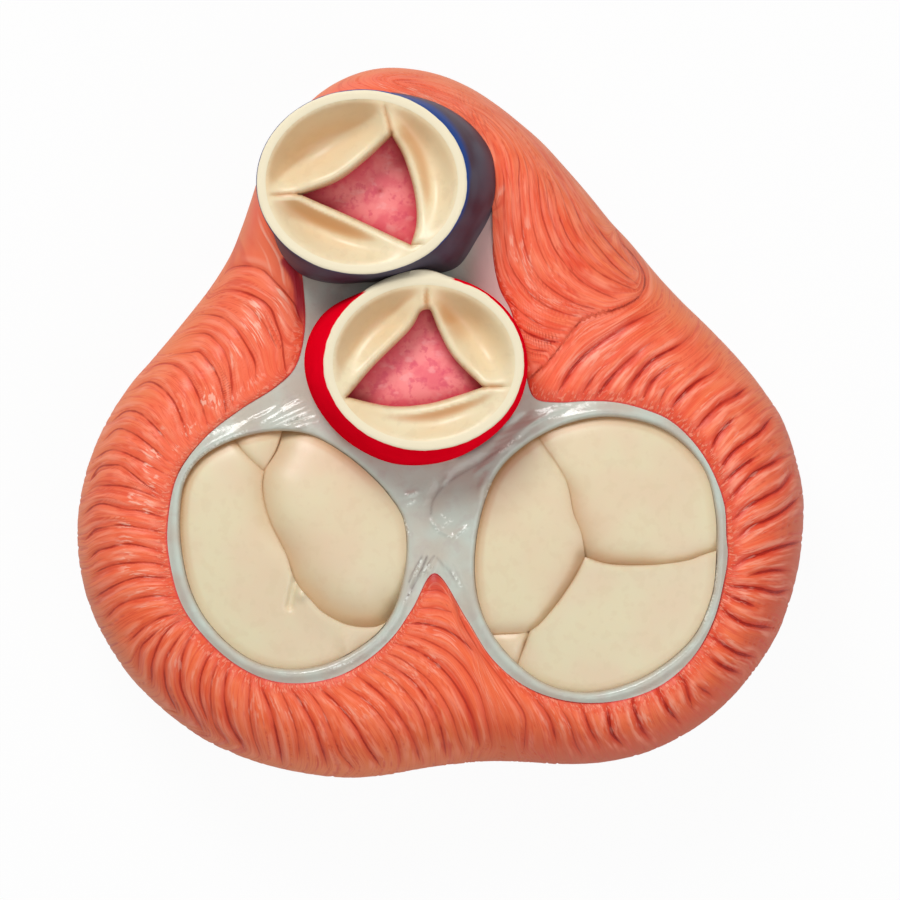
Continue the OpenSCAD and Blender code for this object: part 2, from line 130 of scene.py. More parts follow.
BACK_GROOVES = [
    [(208, 724), (200, 702), (200, 680), (206, 662), (214, 650)],
    [(228, 746), (214, 728), (210, 700), (213, 676), (221, 657)],
    [(242, 750), (229, 726), (224, 700), (226, 678), (231, 664)],
    [(260, 760), (253, 738), (249, 710), (250, 690), (252, 673)],
    [(281, 766), (277, 740), (271, 712), (264, 692), (259, 678)],
    [(299, 758), (296, 730), (288, 706), (279, 687)],
    [(327, 769), (321, 748), (313, 724), (301, 702), (291, 688)],
    [(355, 772), (341, 756), (333, 736), (323, 711), (310, 692), (303, 688)],
    [(380, 768), (368, 750), (354, 725), (337, 703), (320, 688)],
    [(401, 766), (396, 742), (383, 719), (366, 700), (341, 684)],
    [(420, 763), (413, 740), (399, 715), (381, 694), (360, 677)],
    [(430, 748), (424, 722), (413, 700), (395, 681), (372, 666)],
    [(446, 757), (441, 730), (430, 704), (414, 682), (393, 666), (379, 659)],
    [(466, 756), (459, 739), (452, 716), (441, 695), (428, 679), (412, 666), (398, 657), (386, 653)],
    [(480, 748), (473, 722), (463, 697), (449, 676), (432, 660), (414, 649), (395, 643)],
    [(492, 747), (487, 722), (479, 692), (465, 668), (448, 652), (426, 640), (403, 633)],
    [(476, 653), (462, 640), (446, 630), (426, 624), (406, 623)],
    [(456, 613), (433, 608), (416, 609)],
    [(449, 595), (438, 590), (426, 591)],
    [(524, 752), (525, 736), (524, 714), (506, 686), (491, 666), (472, 640), (457, 610)],
    [(557, 744), (549, 719), (535, 696)],
    [(583, 757), (576, 745), (569, 723), (560, 707)],
    [(599, 746), (590, 730), (581, 704)],
]
RIGHT_GROOVES = [
    [(622, 745), (612, 734), (606, 702)],
    [(649, 739), (642, 730), (635, 711), (631, 691)],
    [(678, 721), (669, 711), (660, 695), (653, 679)],
    [(692, 705), (685, 684), (676, 671)],
    [(712, 696), (699, 687)],
    [(740, 674), (722, 666), (708, 655)],
    [(755, 658), (739, 654), (721, 643), (705, 632)],
    [(774, 629), (749, 625), (731, 616), (719, 607)],
    [(756, 607), (739, 600), (722, 593)],
    [(790, 591), (778, 593), (760, 589), (742, 587), (724, 586)],
    [(790, 571), (772, 571), (751, 575)],
    [(801, 543), (780, 548), (762, 554), (746, 559), (730, 568)],
    [(800, 499), (787, 510), (771, 519), (751, 527), (736, 539)],
    [(795, 472), (784, 487), (766, 497), (747, 507), (732, 520)],
    [(785, 456), (772, 464), (756, 472), (741, 486), (726, 502)],
    [(756, 457), (736, 471), (722, 484)],
    [(773, 418), (761, 432), (746, 442), (731, 454), (719, 471)],
    [(734, 418), (719, 434), (711, 449)],
    [(747, 388), (736, 396), (722, 403), (708, 416), (696, 429)],
    [(725, 355), (721, 365), (712, 373), (698, 381), (681, 396), (671, 409)],
    [(678, 378), (666, 389), (659, 403)],
    [(683, 360), (666, 369), (651, 383), (643, 399)],
    [(697, 325), (691, 335), (679, 345), (664, 353), (649, 363), (635, 379), (625, 396)],
    [(663, 335), (646, 346), (626, 363), (610, 379), (596, 398)],
    [(611, 360), (596, 374), (583, 393)],
    [(668, 304), (651, 313), (631, 323), (613, 335), (591, 350), (573, 368), (560, 389)],
]

# Where the front bundles begin on the outline and at the web; the crevice where they dive under
# the others; and their own grooves from the aorta outwards. All in millimetres as seen.
FRONT_STARTS = ((23.8, 28.1), (13.2, 3.4))
SEAM = [
    (24.6, 28.2), (25.4, 25.6), (27.4, 23.3), (28.8, 20.5), (27.9, 17.7), (24.4, 15.8), (20.2, 14.6),
    (17.6, 11.8), (15.3, 8.8), (12.5, 6.2),
]
FRONT_GROOVES = [
    [(11.4, 8.8), (14.6, 8.2)],
    [(10.9, 11.8), (12.5, 10.3), (15.5, 9.9)],
    [(9.5, 15.5), (10.6, 13.5), (12.8, 12.2), (15.5, 11.3), (17.6, 11.3)],
    [(7.2, 27.7), (7.2, 24.9), (7.4, 21.3), (8.8, 17.8), (11.7, 15.1), (14.9, 13.3), (18.4, 12.7)],
    [(4.1, 43.5), (7.4, 39.6), (8.8, 34.7), (8.8, 29.1), (9, 25.3), (9.8, 21.8), (12, 18.6), (14.9, 16.2),
     (18.7, 14.9), (22.3, 14.6)],
    [(-5.7, 47.4), (1.3, 45.6), (7.2, 42.3), (10.8, 37.9), (11, 33.6), (11.2, 29.3), (11.7, 25), (12.8, 21.8),
     (14.9, 19.1), (18.7, 16.7), (22.6, 15.6)],
    [(-2.9, 47.7), (4.1, 45.4), (9.4, 41.6), (13.3, 35.8), (13.9, 32), (14.4, 28.5), (16, 24.2), (18.7, 20.7),
     (21.1, 18.9), (24.8, 17.2)],
    [(-0.1, 47.7), (6.9, 44.4), (11.8, 39.5), (15.7, 33.1), (16.5, 29.6), (18.1, 25.6), (21.3, 21.8),
     (24.8, 19.7), (27.9, 18.5)],
    [(4.1, 46.8), (10.4, 42.6), (15, 37), (18.1, 32), (20.3, 27.2), (23, 23.7), (25.6, 21), (27.9, 19.4)],
    [(14.6, 39.3), (19.8, 30.9), (22.2, 27.2), (25.1, 23.7), (27.9, 21.1)],
]

# The dark crevice beside the trunk, where the muscle drops behind the web, in pixels.
CREVICE_SHADE = [(286, 262), (293, 272), (298, 284), (300, 300), (302, 318), (303, 334)]
NOTCH_APEX = (434, 572)                 # where the muscle runs out between the two rings

# ---------------------------------------------------------------- web and leaflets

# The two large openings, in pixels of the picture.
MITRAL_OPENING = [
    (406, 560), (404, 522), (390, 497), (369, 474), (343, 453), (313, 436), (285, 431), (255, 434),
    (224, 444), (199, 460), (184, 484), (180, 518), (182, 551), (189, 584), (204, 616), (230, 645),
    (259, 663), (291, 669), (322, 665), (353, 651), (379, 631), (396, 604),
]
TRICUSPID_OPENING = [
    (716, 556), (715, 510), (702, 466), (664, 430), (612, 417), (564, 425), (523, 447), (495, 477),
    (479, 525), (475, 575), (484, 617), (507, 653), (545, 683), (592, 692), (645, 676), (690, 641),
    (711, 598),
]
# Folds and hollows in the web, in pixels: start, end, height and half width in millimetres.
WEB_FOLDS = [
    ((243, 425), (283, 404), 0.20, 0.25), ((254, 421), (297, 401), 0.25, 0.25),
    ((262, 423), (304, 402), 0.30, 0.22), ((268, 425), (306, 408), 0.25, 0.20),
    ((270, 429), (310, 412), 0.30, 0.22), ((276, 429), (316, 417), 0.25, 0.20),
    ((284, 430), (320, 423), 0.22, 0.22), ((270, 414), (300, 396), -0.25, 0.30),
    ((278, 427), (311, 415), -0.20, 0.25), ((505, 430), (528, 414), -0.30, 0.5),
    ((492, 452), (530, 428), 0.28, 0.30), ((497, 444), (538, 421), 0.30, 0.25),
    ((502, 436), (548, 416), 0.30, 0.25), ((509, 428), (560, 412), 0.25, 0.25),
    ((517, 421), (566, 409), 0.20, 0.25), ((528, 414), (572, 406), 0.15, 0.25),
    ((484, 462), (516, 441), 0.22, 0.30), ((474, 474), (500, 455), 0.20, 0.35),
    ((412, 584), (421, 554), 0.25, 0.22), ((417, 583), (427, 552), 0.30, 0.22),
    ((424, 580), (433, 555), 0.28, 0.22), ((429, 574), (440, 557), 0.20, 0.20),
    ((408, 590), (416, 560), 0.20, 0.22), ((446, 558), (458, 584), 0.25, 0.28),
    ((453, 560), (466, 590), 0.22, 0.25), ((440, 556), (448, 576), 0.18, 0.22),
    ((430, 519), (440, 531), 0.30, 0.30), ((440, 531), (453, 537), 0.25, 0.30),
    ((453, 537), (468, 526), 0.35, 0.35), ((404, 497), (416, 492), 0.25, 0.4),
    ((406, 503), (414, 500), 0.20, 0.3), ((441, 486), (448, 476), 0.2, 0.4),
    ((478, 496), (486, 478), 0.25, 0.5),
]
# In pixels: the long fold between the aorta and the right ring, lower on its right; dark lines of
# painted shadow beside the aorta's foot and painted shade in the web's creases, with their half width
# in millimetres and strength; and small painted glints as highlights.
WEB_VALLEY = [(432, 521), (431, 506), (437, 491), (449, 481), (466, 470), (484, 460), (508, 440), (530, 424)]
WEB_SHADOWS = [
    ([(459, 455), (471, 450), (485, 442), (498, 430), (509, 417)], 0.50, 0.8),
    ([(431, 514), (432, 504), (437, 494), (446, 484), (456, 477)], 0.16, 0.35),
    ([(456, 477), (470, 469), (484, 461), (500, 449)], 0.14, 0.30),
    ([(427, 557), (421, 570), (413, 587), (406, 599)], 0.16, 0.6),
    ([(422, 557), (415, 568), (409, 582)], 0.14, 0.5),
    ([(434, 556), (428, 564), (424, 573)], 0.14, 0.45),
    ([(437, 558), (447, 569), (457, 581)], 0.16, 0.25),
]
WEB_GLINTS = [
    ((431, 519), (438, 531)), ((448, 536), (456, 538)), ((457, 536), (466, 528)), ((441, 515), (449, 520)),
    ((408, 495), (416, 492)), ((408, 505), (414, 500)), ((197, 459), (222, 441)), ((226, 440), (246, 431)),
    ((184, 480), (192, 464)), ((704, 622), (713, 596)), ((714, 590), (717, 566)), ((548, 419), (580, 411)),
    ((404, 520), (409, 534)), ((486, 497), (491, 484)), ((262, 423), (284, 409)), ((284, 424), (306, 414)),
    ((330, 669), (352, 661)), ((500, 452), (520, 436)), ((421, 561), (415, 575)), ((430, 562), (423, 573)),
    ((453, 573), (461, 586)), ((411, 590), (405, 602)), ((446, 524), (452, 520)), ((443, 527), (447, 523)),
]
MITRAL_CREASE = [
    (283, 426), (276, 449), (264, 472), (263, 495), (271, 524), (286, 554), (295, 580), (310, 599),
    (324, 613), (348, 625), (375, 627), (394, 618),
]
MITRAL_WEDGE = [(228, 432), (244, 453), (263, 471)]     # its other side is the crease
MITRAL_CLEFT = [(296, 579), (293, 592), (290, 606)]
MITRAL_TOOTH = (303, 594)
MITRAL_FOLD = [(345, 640), (349, 660)]
TRICUSPID_MIDDLE = (585, 557)
TRICUSPID_TOP_CREASE = [(528, 424), (542, 443), (565, 478), (573, 512), (581, 533), TRICUSPID_MIDDLE]
TRICUSPID_RIGHT_CREASE = [TRICUSPID_MIDDLE, (610, 564), (650, 565), (685, 561), (703, 555), (725, 548)]
TRICUSPID_LEFT_CREASE = [TRICUSPID_MIDDLE, (573, 580), (552, 610), (530, 631), (499, 635), (482, 636)]
TRICUSPID_CUSP_CREASE = [(530, 631), (520, 659), (514, 676)]

# ---------------------------------------------------------------- vessels

AORTIC_RIM = {"centre": (424, 363), "half": (101, 88)}
PULMONARY_RIM = {"centre": (361.5, 182), "half": (106, 93)}
# How much of each wall shows beyond the rim, in pixels, by direction in degrees.
AORTIC_SHOWS = {
    0: 2.5, 20: 2, 40: 1.5, 60: 1.2, 75: 1, 90: 2, 112: 1, 126: 0.5, 134: 4, 142: 9, 150: 14, 165: 18,
    180: 19, 210: 16, 225: 16, 240: 16, 255: 16.5, 270: 14, 285: 11.5, 300: 8, 315: 6, 330: 5, 345: 3.5,
}
PULMONARY_SHOWS = {
    0: 29, 15: 28, 30: 21, 45: 13, 60: 5, 75: 0, 90: -6, 120: -12, 150: -14, 180: -12, 210: -3, 225: 8,
    240: 15, 255: 12, 270: 7, 285: 8, 300: 14, 315: 30, 330: 25, 345: 28,
}
RIM_WIDTH = 1.35
SUNWARD = np.array([-0.17, 0.25])       # a short step towards the main light, in millimetres
# How far down the trunk's wall its bright blue edge reaches, in millimetres by direction.
TRUNK_EDGE = {0: 1.0, 20: 2.2, 40: 4.0, 60: 6.5, 75: 3.0, 120: 0.5, 250: 0.3, 300: 0.3, 330: 0.5}
# The pale ledge between the aorta's rim and the trunk's wall, in millimetres by direction.
AORTIC_LEDGE = {76: 0.0, 84: 0.5, 92: 0.8, 100: 0.6, 110: 0.35, 122: 0.2, 130: 0.0}
# The open middle of each valve: one side after the other, in pixels, and where the cusps meet
# at the rim, in degrees.
AORTIC_SIDES = [
    [(427, 309), (420, 312), (409, 330), (373, 366), (347, 397)],
    [(347, 397), (389.5, 406), (426, 404), (456, 396), (483, 387)],
    [(483, 387), (454, 358), (439, 331), (431, 311), (427, 309)],
]
AORTIC_MEETS = (88, 206, 345)
PULMONARY_SIDES = [
    [(391.5, 134), (364, 159.5), (336, 180), (299, 194)],
    [(299, 194), (350, 216), (411, 245)],
    [(411, 245), (416.5, 221.5), (414, 190.5), (403.6, 156), (391.5, 134)],
]
PULMONARY_MEETS = (75, 188, 316)


# ---------------------------------------------------------------- lines and places

def read(pixels):
    """Points of the picture, in millimetres as seen at the widest level."""
    pixels = np.asarray(pixels, float)
    return (pixels - ORIGIN_PIXEL) * (PIXEL, -PIXEL)


def stand(points, height):
    """Points as seen from the camera, moved to where they stand at a height."""
    eye = np.array(EYE[:2])
    return eye + (np.asarray(points, float) - eye) * (EYE[2] - height) / EYE_TO_OUTLINE


def smooth(points, step, closed=False, count=None):
    """A round line through the points, cut at an even step."""
    points = np.asarray(points, float)
    if closed:
        before, start, end, after = (np.roll(points, shift, axis=0) for shift in (1, 0, -1, -2))
    else:
        longer = np.vstack([2 * points[0] - points[1], points, 2 * points[-1] - points[-2]])
        before, start, end, after = longer[:-3], longer[1:-2], longer[2:-1], longer[3:]
    t = np.linspace(0, 1, 16, endpoint=False)[:, None, None]
    curve = start + t / 2 * (end - before)
    curve = curve + t ** 2 / 2 * (2 * before - 5 * start + 4 * end - after)
    curve = curve + t ** 3 / 2 * (3 * start - before - 3 * end + after)
    curve = curve.transpose(1, 0, 2).reshape(-1, points.shape[1])
    curve = np.vstack([curve, points[:1] if closed else points[-1:]])
    return even(curve, step, closed, count)


def even(curve, step, closed=False, count=None):
    """The same line, cut again at an even step."""
    lengths = np.r_[0, np.cumsum(np.linalg.norm(np.diff(curve, axis=0), axis=1))]
    count = count or max(2, round(lengths[-1] / step))
    marks = np.linspace(0, lengths[-1], count + 1)
    cut = np.stack([np.interp(marks, lengths, column) for column in curve.T], axis=1)
    return cut[:-1] if closed else cut


def longer(line, reach):
    """The line with a straight end added on both sides."""
    first = line[0] - line[1]
    last = line[-1] - line[-2]
    head = line[0] + first / np.linalg.norm(first) * reach
    tail = line[-1] + last / np.linalg.norm(last) * reach
    return np.vstack([head, line, tail])


def to_line(points, line, closed=False):
    """For each point: its distance to the line, positive on the left, and the share along it."""
    ends = np.roll(line, -1, axis=0) if closed else line[1:]
    best = np.full(len(points), 1e9)
    side = np.ones(len(points))
    share = np.zeros(len(points))
    for number, (a, b) in enumerate(zip(line, ends)):
        ab = b - a
        off = points - a
        t = np.clip(off @ ab / max(ab @ ab, 1e-12), 0, 1)
        gap = np.hypot(off[:, 0] - t * ab[0], off[:, 1] - t * ab[1])
        closer = gap < best
        best[closer] = gap[closer]
        turn = ab[0] * off[:, 1] - ab[1] * off[:, 0]
        side[closer] = np.where(turn[closer] < 0, -1, 1)
        share[closer] = (number + t[closer]) / len(ends)
    return best * side, share


def gap_to(points, line, closed=False):
    """Each point's distance to the line."""
    return np.abs(to_line(points, line, closed)[0])


def within(points, loop):
    """Which points lie inside a closed loop."""
    x, y = points.T
    result = np.zeros(len(points), bool)
    for (x0, y0), (x1, y1) in zip(loop, np.roll(loop, -1, axis=0)):
        if y0 != y1:
            result ^= ((y0 > y) != (y1 > y)) & (x < (x1 - x0) * (y - y0) / (y1 - y0) + x0)
    return result


def ramp(value, low, high):
    """0 below low, 1 above high, and a soft step between."""
    t = np.clip((value - low) / (high - low), 0, 1)
    return t * t * (3 - 2 * t)


def bump(distance, width):
    """1 at no distance, falling softly to almost nothing at twice the width."""
    return np.exp(-(distance / width) ** 2)


# ---------------------------------------------------------------- solids

def make_object(name, points, faces, values=None, sharp=50):
    """A closed piece from points in millimetres, with its faces turned outwards."""
    points = np.asarray(points, float)
    fans = [(f[0], f[k], f[k + 1]) for f in faces for k in range(1, len(f) - 1)]
    fans = np.array(fans)
    a, b, c = points[fans[:, 0]], points[fans[:, 1]], points[fans[:, 2]]
    volume = np.einsum("ij,ij->i", a, np.cross(b, c)).sum()
    if volume < 0:
        faces = [tuple(reversed(f)) for f in faces]
    mesh = bpy.data.meshes.new(name)
    mesh.from_pydata((points * MM).tolist(), [], faces)
    for label, column in (values or {}).items():
        attribute = mesh.attributes.new(label, "FLOAT", "POINT")
        attribute.data.foreach_set("value", np.asarray(column, np.float32))
    mesh.shade_smooth()
    mesh.set_sharp_from_angle(angle=math.radians(sharp))
    piece = bpy.data.objects.new(name, mesh)
    bpy.context.scene.collection.objects.link(piece)
    return piece


def relief(name, loops, lines, keep, surface, bottom, step=0.4):
    """A solid with upright sides and a flat bottom. surface gives its top's height and the values
    that its paint reads; keep says which points belong to it."""
    corners = np.vstack(loops + lines)
    low, high = corners.min(axis=0), corners.max(axis=0)
    row_gap = step * 0.87       # the rows of even triangles
    across, up = np.meshgrid(np.arange(low[0], high[0], step), np.arange(low[1], high[1], row_gap))
    across[1::2] += step / 2
    grid = np.stack([across, up], axis=-1).reshape(-1, 2)
    grid = grid[keep(grid)]
    for line in loops:
        grid = grid[gap_to(grid, line, closed=True) > step * 0.5]
    for line in lines:
        grid = grid[gap_to(grid, line) > step * 0.5]
    edges = []
    start = 0
    for line in loops:
        edges += [(start + k, start + (k + 1) % len(line)) for k in range(len(line))]
        start += len(line)
    for line in lines:
        edges += [(start + k, start + k + 1) for k in range(len(line) - 1)]
        start += len(line)
    places = [Vector(p) for p in np.vstack([corners, grid])]
    flat, _, triangles = geometry.delaunay_2d_cdt(places, edges, [], 0, 1e-4)[:3]
    flat = np.array([tuple(p) for p in flat])
    triangles = np.array([t for t in triangles if len(t) == 3])
    triangles = triangles[keep(flat[triangles].mean(axis=1))]
    a, b, c = (flat[triangles[:, k]] for k in range(3))
    area = (b - a)[:, 0] * (c - a)[:, 1] - (b - a)[:, 1] * (c - a)[:, 0]
    triangles[area < 0] = triangles[area < 0][:, ::-1]
    triangles = triangles[np.abs(area) > 1e-7]
    used, triangles = np.unique(triangles, return_inverse=True)
    triangles = triangles.reshape(-1, 3)
    flat = flat[used]
    count = len(flat)
    heights, values = surface(flat)
    top = np.column_stack([flat, heights])
    base = np.column_stack([flat, np.full(count, bottom)])
    rims = {(t[k], t[(k + 1) % 3]) for t in triangles.tolist() for k in range(3)}
    border = sorted(edge for edge in rims if (edge[1], edge[0]) not in rims)
    faces = [tuple(t) for t in triangles.tolist()]
    faces += [(t[2] + count, t[1] + count, t[0] + count) for t in triangles.tolist()]
    faces += [(b, a, a + count, b + count) for a, b in border]
    values = {label: np.r_[column, column] for label, column in values.items()}
    return make_object(name, np.vstack([top, base]), faces, values)


def sleeve(name, rings, values):
    """A closed tube: each ring of points joins the next, and the last one joins the first."""
    around = len(rings[0])
    faces = []
    for number in range(len(rings)):
        here, there = number * around, (number + 1) % len(rings) * around
        for k in range(around):
            next_k = (k + 1) % around
            faces.append((here + k, here + next_k, there + next_k, there + k))
    return make_object(name, np.vstack(rings), faces, values, sharp=60)


# ---------------------------------------------------------------- nodes

def add(tree, kind, settings=None, inputs=None):
    """Adds one node with its settings, and fills or links its inputs."""
    node = tree.nodes.new(kind)
    for label, value in (settings or {}).items():
        setattr(node, label, value)
    for label, value in (inputs or {}).items():
        if isinstance(value, bpy.types.NodeSocket):
            tree.links.new(value, node.inputs[label])
        else:
            node.inputs[label].default_value = value
    return node


def linear(code):
    """The linear colour of an sRGB hex value."""
    channels = [int(code[k:k + 2], 16) / 255 for k in (0, 2, 4)]
    return [c / 12.92 if c <= 0.04045 else ((c + 0.055) / 1.055) ** 2.4 for c in channels] + [1.0]


def start_paint(name):
    """A new material with only its output and shader."""
    paint = bpy.data.materials.new(name)
    paint.use_nodes = True
    tree = paint.node_tree
    tree.nodes.clear()
    shader = add(tree, "ShaderNodeBsdfPrincipled")
    add(tree, "ShaderNodeOutputMaterial", inputs={"Surface": shader.outputs[0]})
    return paint, tree, shader


def mix(tree, share, first, second):
    """One colour over another."""
    node = add(tree, "ShaderNodeMix", {"data_type": "RGBA"}, {0: share, 6: first, 7: second})
    return node.outputs[2]


def coats(tree, body, layers):
    """Coats of paint one over the other: each has the share that covers, and its colour."""
    for share, code in layers:
        body = mix(tree, share, body, linear(code))
    return body


def step_between(tree, value, low, high, top=1.0):
    """0 below low, top above high."""
    node = add(
        tree, "ShaderNodeMapRange", {"interpolation_type": "SMOOTHSTEP"},
        {"Value": value, "From Min": low, "From Max": high, "To Max": top},
    )
    return node.outputs["Result"]


def maths(tree, operation, first, second=0.0):
    """The result of one Math node."""
    return add(tree, "ShaderNodeMath", {"operation": operation}, {0: first, 1: second}).outputs[0]


def value_of(tree, label):
    """A value that the mesh carries at each point, for a material."""
    node = add(tree, "ShaderNodeAttribute", {"attribute_type": "GEOMETRY", "attribute_name": label})
    return node.outputs["Fac"]


def object_noise(tree, grain, detail=2.0, stretch=(1, 1, 1)):
    """Clouds of a size in millimetres, fixed to the piece."""
    place = add(tree, "ShaderNodeTexCoord").outputs["Object"]
    size = [s / (grain * MM) for s in stretch]
    turned = add(tree, "ShaderNodeMapping", inputs={"Vector": place, "Scale": size})
    noise = add(
        tree, "ShaderNodeTexNoise",
        inputs={"Vector": turned.outputs[0], "Scale": 1.0, "Detail": detail},
    )
    return noise.outputs[0]


# ---------------------------------------------------------------- finishes

def flow_noise(tree, across, length, detail=2.0, layer=0.0):
    """Noise drawn out along the muscle's fibres, of a width and length in millimetres."""
    place = add(
        tree, "ShaderNodeCombineXYZ",
        inputs={0: maths(tree, "DIVIDE", value_of(tree, "flow"), across),
                1: maths(tree, "DIVIDE", value_of(tree, "along"), length), 2: layer},
    ).outputs[0]
    noise = add(tree, "ShaderNodeTexNoise", inputs={"Vector": place, "Scale": 1.0, "Detail": detail})
    return noise.outputs[0]


def product(tree, *factors):
    """All the factors multiplied."""
    result = factors[0]
    for factor in factors[1:]:
        result = maths(tree, "MULTIPLY", result, factor)
    return result


def muscle_paint():
    """Satin acrylic paint over cast resin: salmon red, brushed along the fibres, with a thin dark line
    and darker red painted shade in the grooves, and pale streaks painted on the crest of the wall as
    highlights."""
    paint, tree, shader = start_paint("satin_acrylic_muscle_paint")
    reach = value_of(tree, "reach")
    from_web = value_of(tree, "from_web")
    object_place = add(tree, "ShaderNodeTexCoord").outputs["Object"]
    place = add(tree, "ShaderNodeSeparateXYZ", inputs={0: object_place}).outputs
    to_left = maths(tree, "SUBTRACT", place[1], place[0])
    upper_left = step_between(tree, to_left, -0.005, 0.05, 0.45)
    lower_right = step_between(tree, to_left, -0.03, -0.075, 0.6)

    # The brushed body colour, by fibre, by bundle and by place; painted light makes the upper left
    # lighter and painted shade makes the outer lower right darker.
    streaks = flow_noise(tree, 0.5, 5.0, 3.0)
    bundles = flow_noise(tree, 2.6, 7.0, 1.0, 3.0)
    from_hair = maths(tree, "SUBTRACT", flow_noise(tree, 0.45, 12.0, 1.0, 11.0), 0.5)
    base = mix(tree, step_between(tree, streaks, 0.35, 0.65), linear("e85634"), linear("ee744c"))
    brushed = [
        (step_between(tree, bundles, 0.42, 0.62, 0.6), "ee6746"),
        (step_between(tree, object_noise(tree, 5.0), 0.45, 0.70, 0.5), "f28560"),
        # painted light: lighter on the upper left, where the light comes from
        (upper_left, "f0704f"),
        (step_between(tree, place[1], -0.008, -0.036, 0.55), "ec6c3c"),
        (step_between(tree, reach, 0.66, 1.0, 0.7), "e88248"),
        # painted shade: darker red on the outer lower right, away from the light
        (product(tree, step_between(tree, reach, 0.35, 0.9), lower_right), "bc3c24"),
        (step_between(tree, maths(tree, "ABSOLUTE", from_hair), 0.035, 0.005, 0.55), "d8492f"),
        # painted shade: darker red in the sunk hollows between the bundles
        (step_between(tree, value_of(tree, "hollow"), 0.15, 0.9, 0.5), "d4452e"),
    ]

    # The grooves: darker red painted into them as their shade, pale painted highlights on the flanks
    # beside them, and a thin worn line in the depth.
    groove_line = value_of(tree, "groove_line")
    thick = maths(tree, "ADD", product(tree, groove_line, 0.6), 0.4)
    gap = maths(tree, "DIVIDE", maths(tree, "ABSOLUTE", value_of(tree, "groove_gap")), thick)
    waver = product(tree, maths(tree, "SUBTRACT", flow_noise(tree, 0.7, 1.2), 0.5), 0.25)
    worn = step_between(tree, flow_noise(tree, 2.0, 4.0, 1.0, 31.0), 0.32, 0.55, 0.6)
    line = step_between(tree, maths(tree, "ADD", gap, waver), 0.24, 0.03)
    line = product(tree, line, groove_line, maths(tree, "ADD", worn, 0.4))
    crest_highlight_grain = step_between(tree, flow_noise(tree, 0.6, 4.0, 2.0, 5.0), 0.40, 0.62, 0.5)
    less_on_left = maths(tree, "SUBTRACT", 0.7, upper_left)
    grooves = [
        (product(tree, value_of(tree, "groove_painted_shade"), less_on_left), "d23c24"),
        (product(tree, value_of(tree, "groove_painted_highlight"), crest_highlight_grain), "fba489"),
        (line, "a81e0e"),
    ]

    # Pale streaks painted on the crown as highlights, more on the upper left, redder skin with short
    # pale dashes by the web, and painted shade.
    band = product(tree, step_between(tree, reach, 0.10, 0.25), step_between(tree, reach, 0.62, 0.42))
    patches = step_between(tree, flow_noise(tree, 2.0, 5.0, 0.0, 17.0), 0.50, 0.60)
    highlight_grain = step_between(tree, flow_noise(tree, 0.32, 2.0, 2.0, 7.0), 0.50, 0.60)
    more_on_left = maths(tree, "ADD", product(tree, upper_left, 0.8), 0.2)
    painted_highlights = product(tree, band, patches, highlight_grain, more_on_left)
    near_web = step_between(tree, from_web, 2.6, 0.8)
    dashes = step_between(tree, flow_noise(tree, 0.3, 0.9, 2.0, 23.0), 0.52, 0.60)
    finish = [
        (painted_highlights, "fbd3bd"),
        (product(tree, near_web, maths(tree, "SUBTRACT", 0.5, upper_left)), "d63e28"),
        (product(tree, near_web, dashes, 0.5), "f7a184"),
        (step_between(tree, from_web, 0.40, 0.05, 0.8), "d0383a"),
        (value_of(tree, "shade"), "a01028"),
    ]
    tree.links.new(coats(tree, base, brushed + grooves + finish), shader.inputs["Base Color"])
    shader.inputs["Roughness"].default_value = 0.42
    shader.inputs["Specular IOR Level"].default_value = 0.3
    height = maths(tree, "SUBTRACT", product(tree, streaks, 0.12), product(tree, line, 0.12))
    height = maths(tree, "ADD", height, product(tree, near_web, dashes, 0.05))
    height = maths(tree, "ADD", height, product(tree, painted_highlights, 0.05))
    raised = add(tree, "ShaderNodeBump", inputs={"Height": height, "Distance": MM, "Strength": 0.8})
    tree.links.new(raised.outputs[0], shader.inputs["Normal"])
    return paint


def web_paint():
    """Glossy enamel over resin: cool grey, brownish painted shade in the long hollow, painted shadow in
    its creases, and small hard painted highlights as white glints on its folds."""
    paint, tree, shader = start_paint("glossy_enamel_web_paint")
    clouds = step_between(tree, object_noise(tree, 6.0), 0.35, 0.7)
    broken = step_between(tree, object_noise(tree, 0.4, 2.0), 0.42, 0.58, 0.75)
    body = coats(tree, mix(tree, clouds, linear("bcc4b9"), linear("bab4a6")), [
        (step_between(tree, object_noise(tree, 2.0, 3.0), 0.50, 0.66, 0.35), "b3a9a2"),
        (value_of(tree, "painted_shade"), "9d9089"),
        (value_of(tree, "front"), "ceada8"),
        (value_of(tree, "line"), "b08c68"),
        (value_of(tree, "shadow"), "5a484a"),
        (product(tree, value_of(tree, "glint"), broken), "eef2ea"),
    ])
    tree.links.new(body, shader.inputs["Base Color"])
    shader.inputs["Roughness"].default_value = 0.2
    ripples = object_noise(tree, 1.3, 2.0)
    uneven = add(tree, "ShaderNodeBump", inputs={"Height": ripples, "Distance": 0.15 * MM, "Strength": 0.6})
    tree.links.new(uneven.outputs[0], shader.inputs["Normal"])
    return paint


def cream_paint(name, first_code, second_code, shade_code):
    """Satin ivory enamel over resin, with warm tan painted shade in the pockets and creases."""
    paint, tree, shader = start_paint(name)
    clouds = step_between(tree, object_noise(tree, 9.0), 0.35, 0.7)
    body = coats(tree, mix(tree, clouds, linear(first_code), linear(second_code)), [
        (step_between(tree, object_noise(tree, 1.6, 3.0), 0.52, 0.62, 0.2), "cfba97"),
        (value_of(tree, "painted_shade"), shade_code),
        (value_of(tree, "warm_painted_shade"), "cf8a54"),
        (value_of(tree, "line"), "a8743f"),
    ])
    tree.links.new(body, shader.inputs["Base Color"])
    shader.inputs["Roughness"].default_value = 0.38
    shader.inputs["Subsurface Weight"].default_value = 0.08
    shader.inputs["Subsurface Scale"].default_value = 1.0 * MM
    return paint


